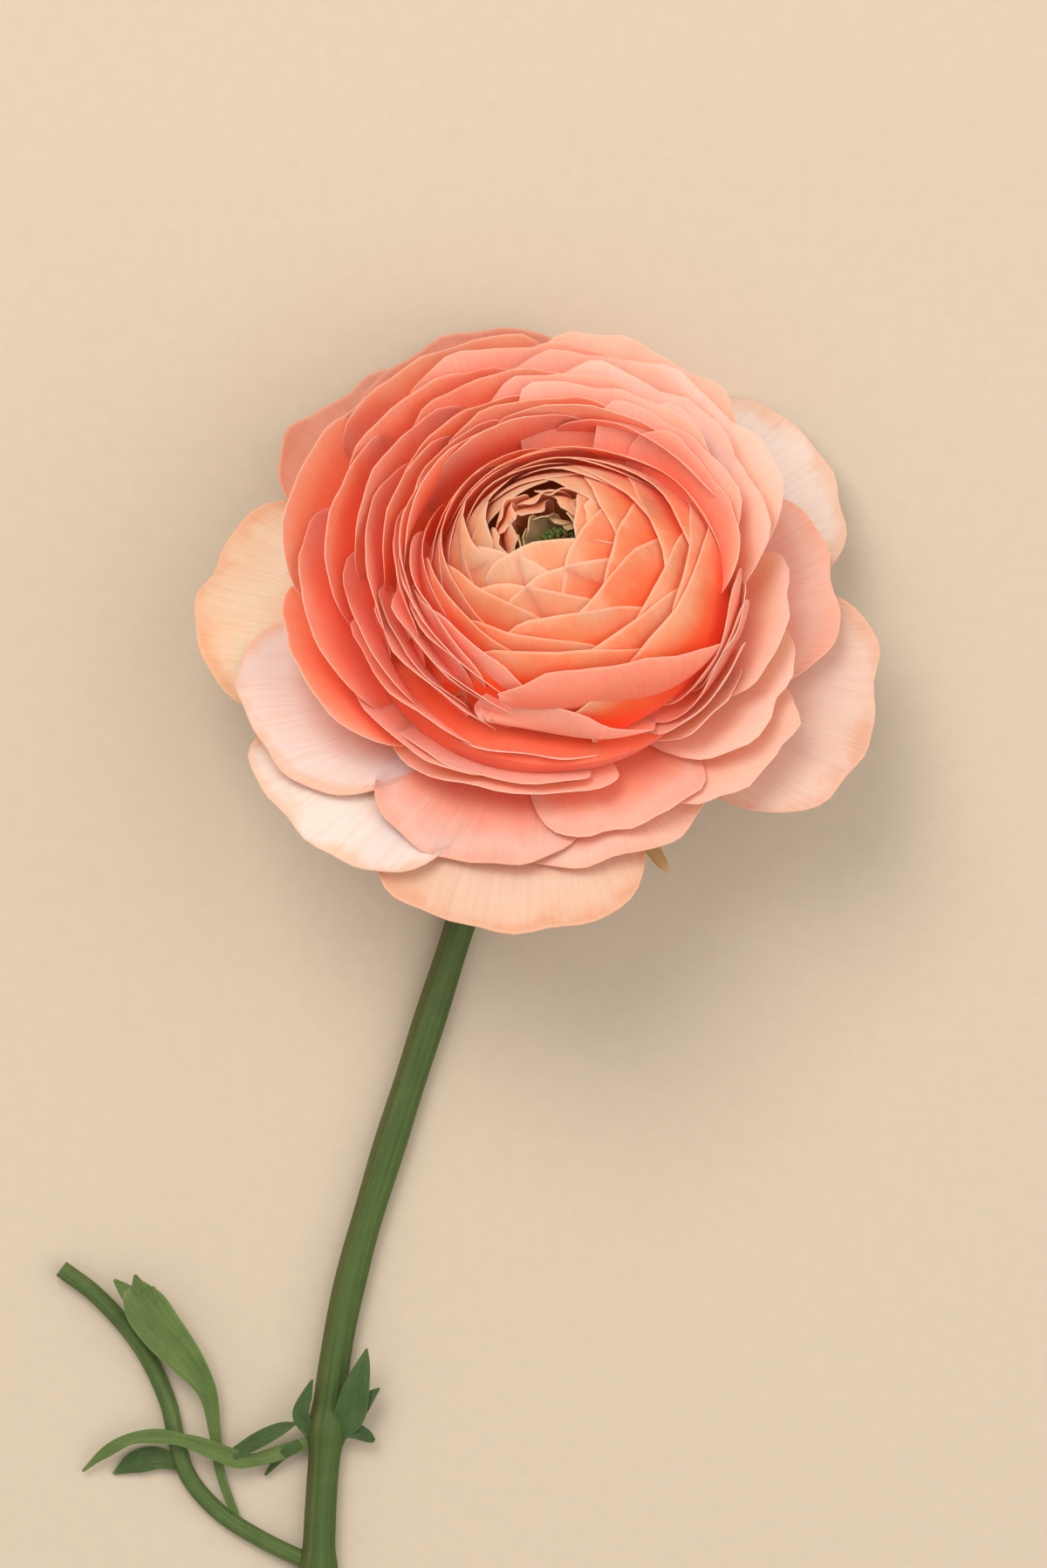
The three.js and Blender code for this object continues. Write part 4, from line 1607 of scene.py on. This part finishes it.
@dataclass(frozen=True)
class Leaf:
    """A thin leaf blade, folded a little along its midrib.

    Each station is x, y, z, half width and how far the edges turn up there, in mm. The teeth are
    how deep the margin is cut, as a share of the half width.
    """

    stations: tuple[tuple[float, float, float, float, float], ...]
    seed: float
    shade: float
    teeth: float = 0.0
    columns: int = 10
    rows_each: int = 12
    narrowest: float = 0.12
    edge: float = 0.16
    rib: float = 0.14
    rib_width: float = 0.22
    clearance: float = 0.03

    def add(self, shape: Shape) -> None:
        """Adds the leaf to a shape.

        Args:
            shape: What it is added to.
        """
        rows = self.rows_each * (len(self.stations) - 1)
        line = spline(np.array(self.stations, dtype=float), rows + 1)
        heading = unit(np.gradient(line[:, :2], axis=0))
        upper, lower, marks = [], [], []
        for j, (x, y, z, half, fold) in enumerate(line):
            along = j / rows
            half = max(half, self.narrowest)
            cut = 1.0 - self.teeth * (0.5 + 0.5 * math.sin(along * 34.0 + 6.0 * self.seed))
            for i in range(self.columns + 1):
                side = 2.0 * i / self.columns - 1.0
                wide = side * half * mix(1.0, cut, abs(side) ** 3)
                ripple = 0.06 * half * math.sin(9.0 * along + 3.0 * side + 5.0 * self.seed)
                lift = fold * abs(side) ** 1.3 * half + ripple
                rib = self.rib * math.exp(-((side * half / self.rib_width) ** 2))
                thick = self.edge * (2.0 - side**2)
                spot = np.array([x + heading[j, 1] * wide, y - heading[j, 0] * wide, z + lift])
                upper.append(spot + [0.0, 0.0, thick / 2 - rib * 0.3])
                lower.append(spot - [0.0, 0.0, thick / 2 + rib])
                marks.append([side, along * 0.97, 0.0])
        points = np.array(lower + upper)
        points[:, 2] = np.maximum(points[:, 2], self.clearance)
        hues = np.tile([1.0, self.seed, self.shade], (len(points), 1))
        faces = blade_faces(self.columns, rows)[:, ::-1]
        shape.add(surface_to_world(points), faces, np.array(marks + marks), hues)


@dataclass
class Stem:
    """The cut stem with its swollen joints and the leaves that grow from them."""

    low: float = 2.1
    shoot_fork: Spot = (-54.2, -75.2, 4.7)
    shoot_lobes: tuple[Spot, ...] = ((-52.9, -71.9, 5.2), (-55.6, -70.2, 5.2), (-58.6, -70.9, 5.2))

    def stalk(self) -> Stalk:
        """The stem's course.

        Returns:
            The stem, from the receptacle in the bloom down to the surface and along it.
        """
        low = self.low
        route = (
            (2.2, 17.9, 17.3), (2.2, 15.8, 13.9), (-0.4, 6.9, 5.3), (-4.5, -5.4, low),
            (-9.1, -20.2, low), (-14.8, -38.0, low), (-20.4, -55.7, low), (-24.0, -68.0, low),
            (-26.7, -80.4, low), (-28.8, -99.2, low), (-29.6, -115.6, low),
        )
        return Stalk(
            route, radius=2.25, samples=240, sides=40, ridge=0.022, seed=0.2, shade=0.4,
            uneven=(0.06, 0.05), joints=((-92.6, 0.65), (-112.5, 0.55)),
        )

    def right_bract(self) -> tuple[Leaf, ...]:
        """The lobed leaf at the right of the upper joint.

        Returns:
            Its middle, upper and lower blades.
        """
        middle = (
            (-26.6, -93.4, 3.2, 1.2, 0.1), (-24.9, -90.4, 4.4, 2.2, 0.3), (-23.9, -86.4, 5.4, 1.9, 0.3),
            (-22.9, -82.9, 6.0, 1.0, 0.2), (-22.4, -80.7, 6.2, 0.15, 0.0),
        )
        upper = (
            (-25.2, -91.4, 4.0, 1.3, 0.2), (-23.4, -89.2, 4.6, 1.3, 0.2), (-21.9, -87.6, 4.8, 0.8, 0.2),
            (-20.6, -86.5, 4.8, 0.15, 0.0),
        )
        lower = (
            (-25.2, -92.4, 3.8, 1.2, 0.1), (-23.6, -92.9, 3.6, 1.1, 0.1), (-22.2, -93.7, 3.2, 0.8, 0.1),
            (-21.4, -94.3, 3.0, 0.3, 0.0),
        )
        return Leaf(middle, 0.1, 0.5), Leaf(upper, 0.3, 0.6), Leaf(lower, 0.5, 0.8)

    def left_bract(self) -> tuple[Leaf, ...]:
        """The small upright leaf at the left of the upper joint.

        Returns:
            Its one blade.
        """
        blade = (
            (-30.4, -93.2, 3.2, 0.9, 0.1), (-31.9, -90.4, 4.2, 1.2, 0.3), (-31.0, -87.4, 5.0, 0.8, 0.2),
            (-30.2, -85.2, 5.4, 0.15, 0.0),
        )
        return (Leaf(blade, 0.7, 0.6),)

    def trailing_leaf(self) -> tuple[Leaf, ...]:
        """The divided leaf that trails to the left.

        Returns:
            Its long blade and its two short ones.
        """
        middle = (
            (-30.2, -94.2, 2.2, 1.0, 0.0), (-36.0, -96.3, 2.6, 1.1, 0.1), (-40.2, -97.0, 3.4, 1.2, 0.1),
            (-43.3, -95.9, 3.9, 1.5, 0.2), (-47.5, -94.3, 4.2, 1.1, 0.2), (-51.3, -93.5, 4.2, 1.1, 0.2),
            (-56.1, -93.8, 3.6, 1.0, 0.2), (-60.4, -96.2, 2.4, 0.8, 0.1), (-63.4, -98.8, 1.2, 0.2, 0.0),
        )
        upper = (
            (-41.8, -96.2, 3.6, 0.8, 0.1), (-38.0, -94.0, 3.8, 1.2, 0.2), (-34.6, -92.3, 3.8, 0.9, 0.2),
            (-32.6, -91.6, 4.0, 0.2, 0.0),
        )
        lower = (
            (-32.2, -94.4, 2.9, 0.6, 0.1), (-33.6, -95.4, 2.9, 0.7, 0.1), (-35.4, -97.2, 2.0, 0.6, 0.1),
            (-37.2, -99.4, 1.0, 0.2, 0.0),
        )
        return Leaf(middle, 0.2, 0.2, teeth=0.15), Leaf(upper, 0.4, 0.9), Leaf(lower, 0.6, 0.9)

    def side_shoot(self) -> tuple[Stalk | Leaf, ...]:
        """The bent side shoot with its leaves.

        Returns:
            The stalk, the toothed leaf with its three lobes, and the small dark leaf.
        """
        route = (
            (-29.8, -112.2, 1.8), (-37.5, -108.6, 1.5), (-44.0, -104.4, 1.2), (-48.2, -99.4, 1.2),
            (-49.8, -94.6, 1.2), (-51.2, -88.6, 1.2), (-55.0, -80.8, 1.4), (-61.3, -73.5, 1.6),
            (-66.4, -69.6, 1.8),
        )
        blade = (
            (-41.4, -105.2, 1.2, 0.6, 0.1), (-43.6, -98.8, 1.4, 0.7, 0.1), (-44.4, -92.6, 1.8, 0.9, 0.1),
            (-45.4, -87.1, 2.8, 1.4, 0.2), (-48.2, -82.6, 3.8, 2.4, 0.2), (-51.8, -78.2, 4.4, 3.1, 0.2),
            (-54.4, -74.4, 4.8, 3.0, 0.2), (-56.0, -71.8, 5.0, 1.6, 0.2),
        )
        dark = (
            (-49.4, -98.0, 1.4, 0.7, 0.1), (-52.4, -96.9, 1.2, 1.6, 0.1), (-55.6, -97.4, 0.9, 1.7, 0.1),
            (-59.0, -99.2, 0.6, 0.2, 0.0),
        )
        fork_x, fork_y, fork_z = self.shoot_fork
        lobes = []
        for n, (x, y, z) in enumerate(self.shoot_lobes):
            bend = (mix(fork_x, x, 0.6), mix(fork_y, y, 0.6), 5.0, 1.1, 0.2)
            lobes.append(Leaf(((fork_x, fork_y, fork_z, 1.2, 0.2), bend, (x, y, z, 0.2, 0.0)), 0.3 * n, 0.3))
        stalk = Stalk(route, radius=1.22, samples=110, sides=24, ridge=0.03, seed=0.6, shade=0.6)
        return stalk, Leaf(blade, 0.1, 0.3), *lobes, Leaf(dark, 0.9, 0.9)

    def build(self) -> None:
        """Makes the stem's piece and one piece for each leaf and the side shoot."""
        pieces = (
            ("green_stem", (self.stalk(),), STEM_FINISH, "green_stem", "stem"),
            ("bract_right", self.right_bract(), LEAF_FINISH, "green_leaf", "right_bract"),
            ("bract_left", self.left_bract(), LEAF_FINISH, "green_leaf", "left_bract"),
            ("leaf_trailing", self.trailing_leaf(), PALE_LEAF_FINISH, "pale_leaf", "trailing_leaf"),
            ("shoot_side", self.side_shoot(), PALE_LEAF_FINISH, "pale_leaf", "side_shoot"),
        )
        for name, parts, finish, slot, node in pieces:
            shape = Shape()
            for part in parts:
                part.add(shape)
            dress(shape.build(name), finish.build(), node)


@dataclass(frozen=True)
class Studio:
    """The pale surface, the soft lights and the camera that looks straight down.

    The camera sees a height of seen mm at level mm above the surface, about the bloom's face.
    """

    centre: Pair = (-REST[0] * MM, -REST[1] * MM)
    height: float = 0.9
    sensor: float = 36.0
    seen: float = 215.64
    level: float = 40.0
    paper: Color = srgb(198, 182, 160)
    paper_mottle: float = 420.0
    half: float = 2.0
    target: Spot = (0.0, 0.02, 0.03)

    def floor(self) -> None:
        """Makes the surface that the flower lies on."""
        mesh = bpy.data.meshes.new("surface")
        (x, y), half = self.centre, self.half
        corners = ((-half, -half), (half, -half), (half, half), (-half, half))
        spots = [(x + across, y + along, 0.0) for across, along in corners]
        mesh.from_pydata(spots, [], [(0, 1, 2, 3)])
        piece = bpy.data.objects.new("surface", mesh)
        bpy.context.scene.collection.objects.link(piece)
        material, tree, shader = new_material("warm_paper")
        skin = place_group(tree, cell_mottle(), Scale=self.paper_mottle)
        lighter = tuple(min(value * 1.03, 1.0) for value in self.paper)
        feed(shader, {"Base Color": blend(skin["Blotches"], self.paper, lighter), "Roughness": 0.9})
        piece.data.materials.append(material)

    def light(self, name: str, spot: Spot, size: float, power: float, color: Color) -> None:
        """Adds a soft light that points at the bloom.

        Args:
            name: Its name.
            spot: Its place from the frame's middle, in metres.
            size: Its width.
            power: Its power in watts.
            color: Its colour.
        """
        lamp = bpy.data.lights.new(name, "AREA")
        lamp.size = size
        lamp.energy = power
        lamp.color = color
        thing = bpy.data.objects.new(name, lamp)
        bpy.context.scene.collection.objects.link(thing)
        x, y = self.centre
        thing.location = (x + spot[0], y + spot[1], spot[2])
        aim = np.array(self.target) - np.array(spot)
        tilt = math.atan2(math.hypot(aim[0], aim[1]), -aim[2])
        thing.rotation_euler = (tilt, 0.0, math.atan2(aim[1], aim[0]) - math.pi / 2)

    def build(self) -> None:
        """Makes the surface, the lights, the air and the camera."""
        self.floor()
        self.light("key", (-0.27, 0.44, 0.84), 0.54, 5.7, (1.0, 0.97, 0.93))
        self.light("fill", (0.6, -0.05, 0.75), 1.0, 3.9, (1.0, 0.97, 0.95))
        bpy.context.scene.view_settings.view_transform = "Standard"
        world = bpy.data.worlds.new("air")
        bpy.context.scene.world = world
        world.use_nodes = True
        air = world.node_tree.nodes["Background"]
        air.inputs["Color"].default_value = (1.0, 0.97, 0.94, 1.0)
        air.inputs["Strength"].default_value = 0.67
        lens = bpy.data.cameras.new("camera")
        lens.sensor_fit = "VERTICAL"
        lens.sensor_height = self.sensor
        lens.lens = self.sensor * (self.height / MM - self.level) / self.seen
        lens.clip_end = 10.0
        eye = bpy.data.objects.new("camera", lens)
        eye.location = (*self.centre, self.height)
        bpy.context.scene.collection.objects.link(eye)
        bpy.context.scene.camera = eye


def main() -> None:
    """Builds the flower and its stage."""
    logging.basicConfig(level=logging.INFO, format="%(name)s: %(message)s")
    Studio().build()
    Heart().build()
    Cups().build()
    Guards().build()
    eye = Eye()
    eye.carpels()
    eye.stamens()
    Sepals().build()
    Stem().build()


if __name__ == "__main__":
    main()
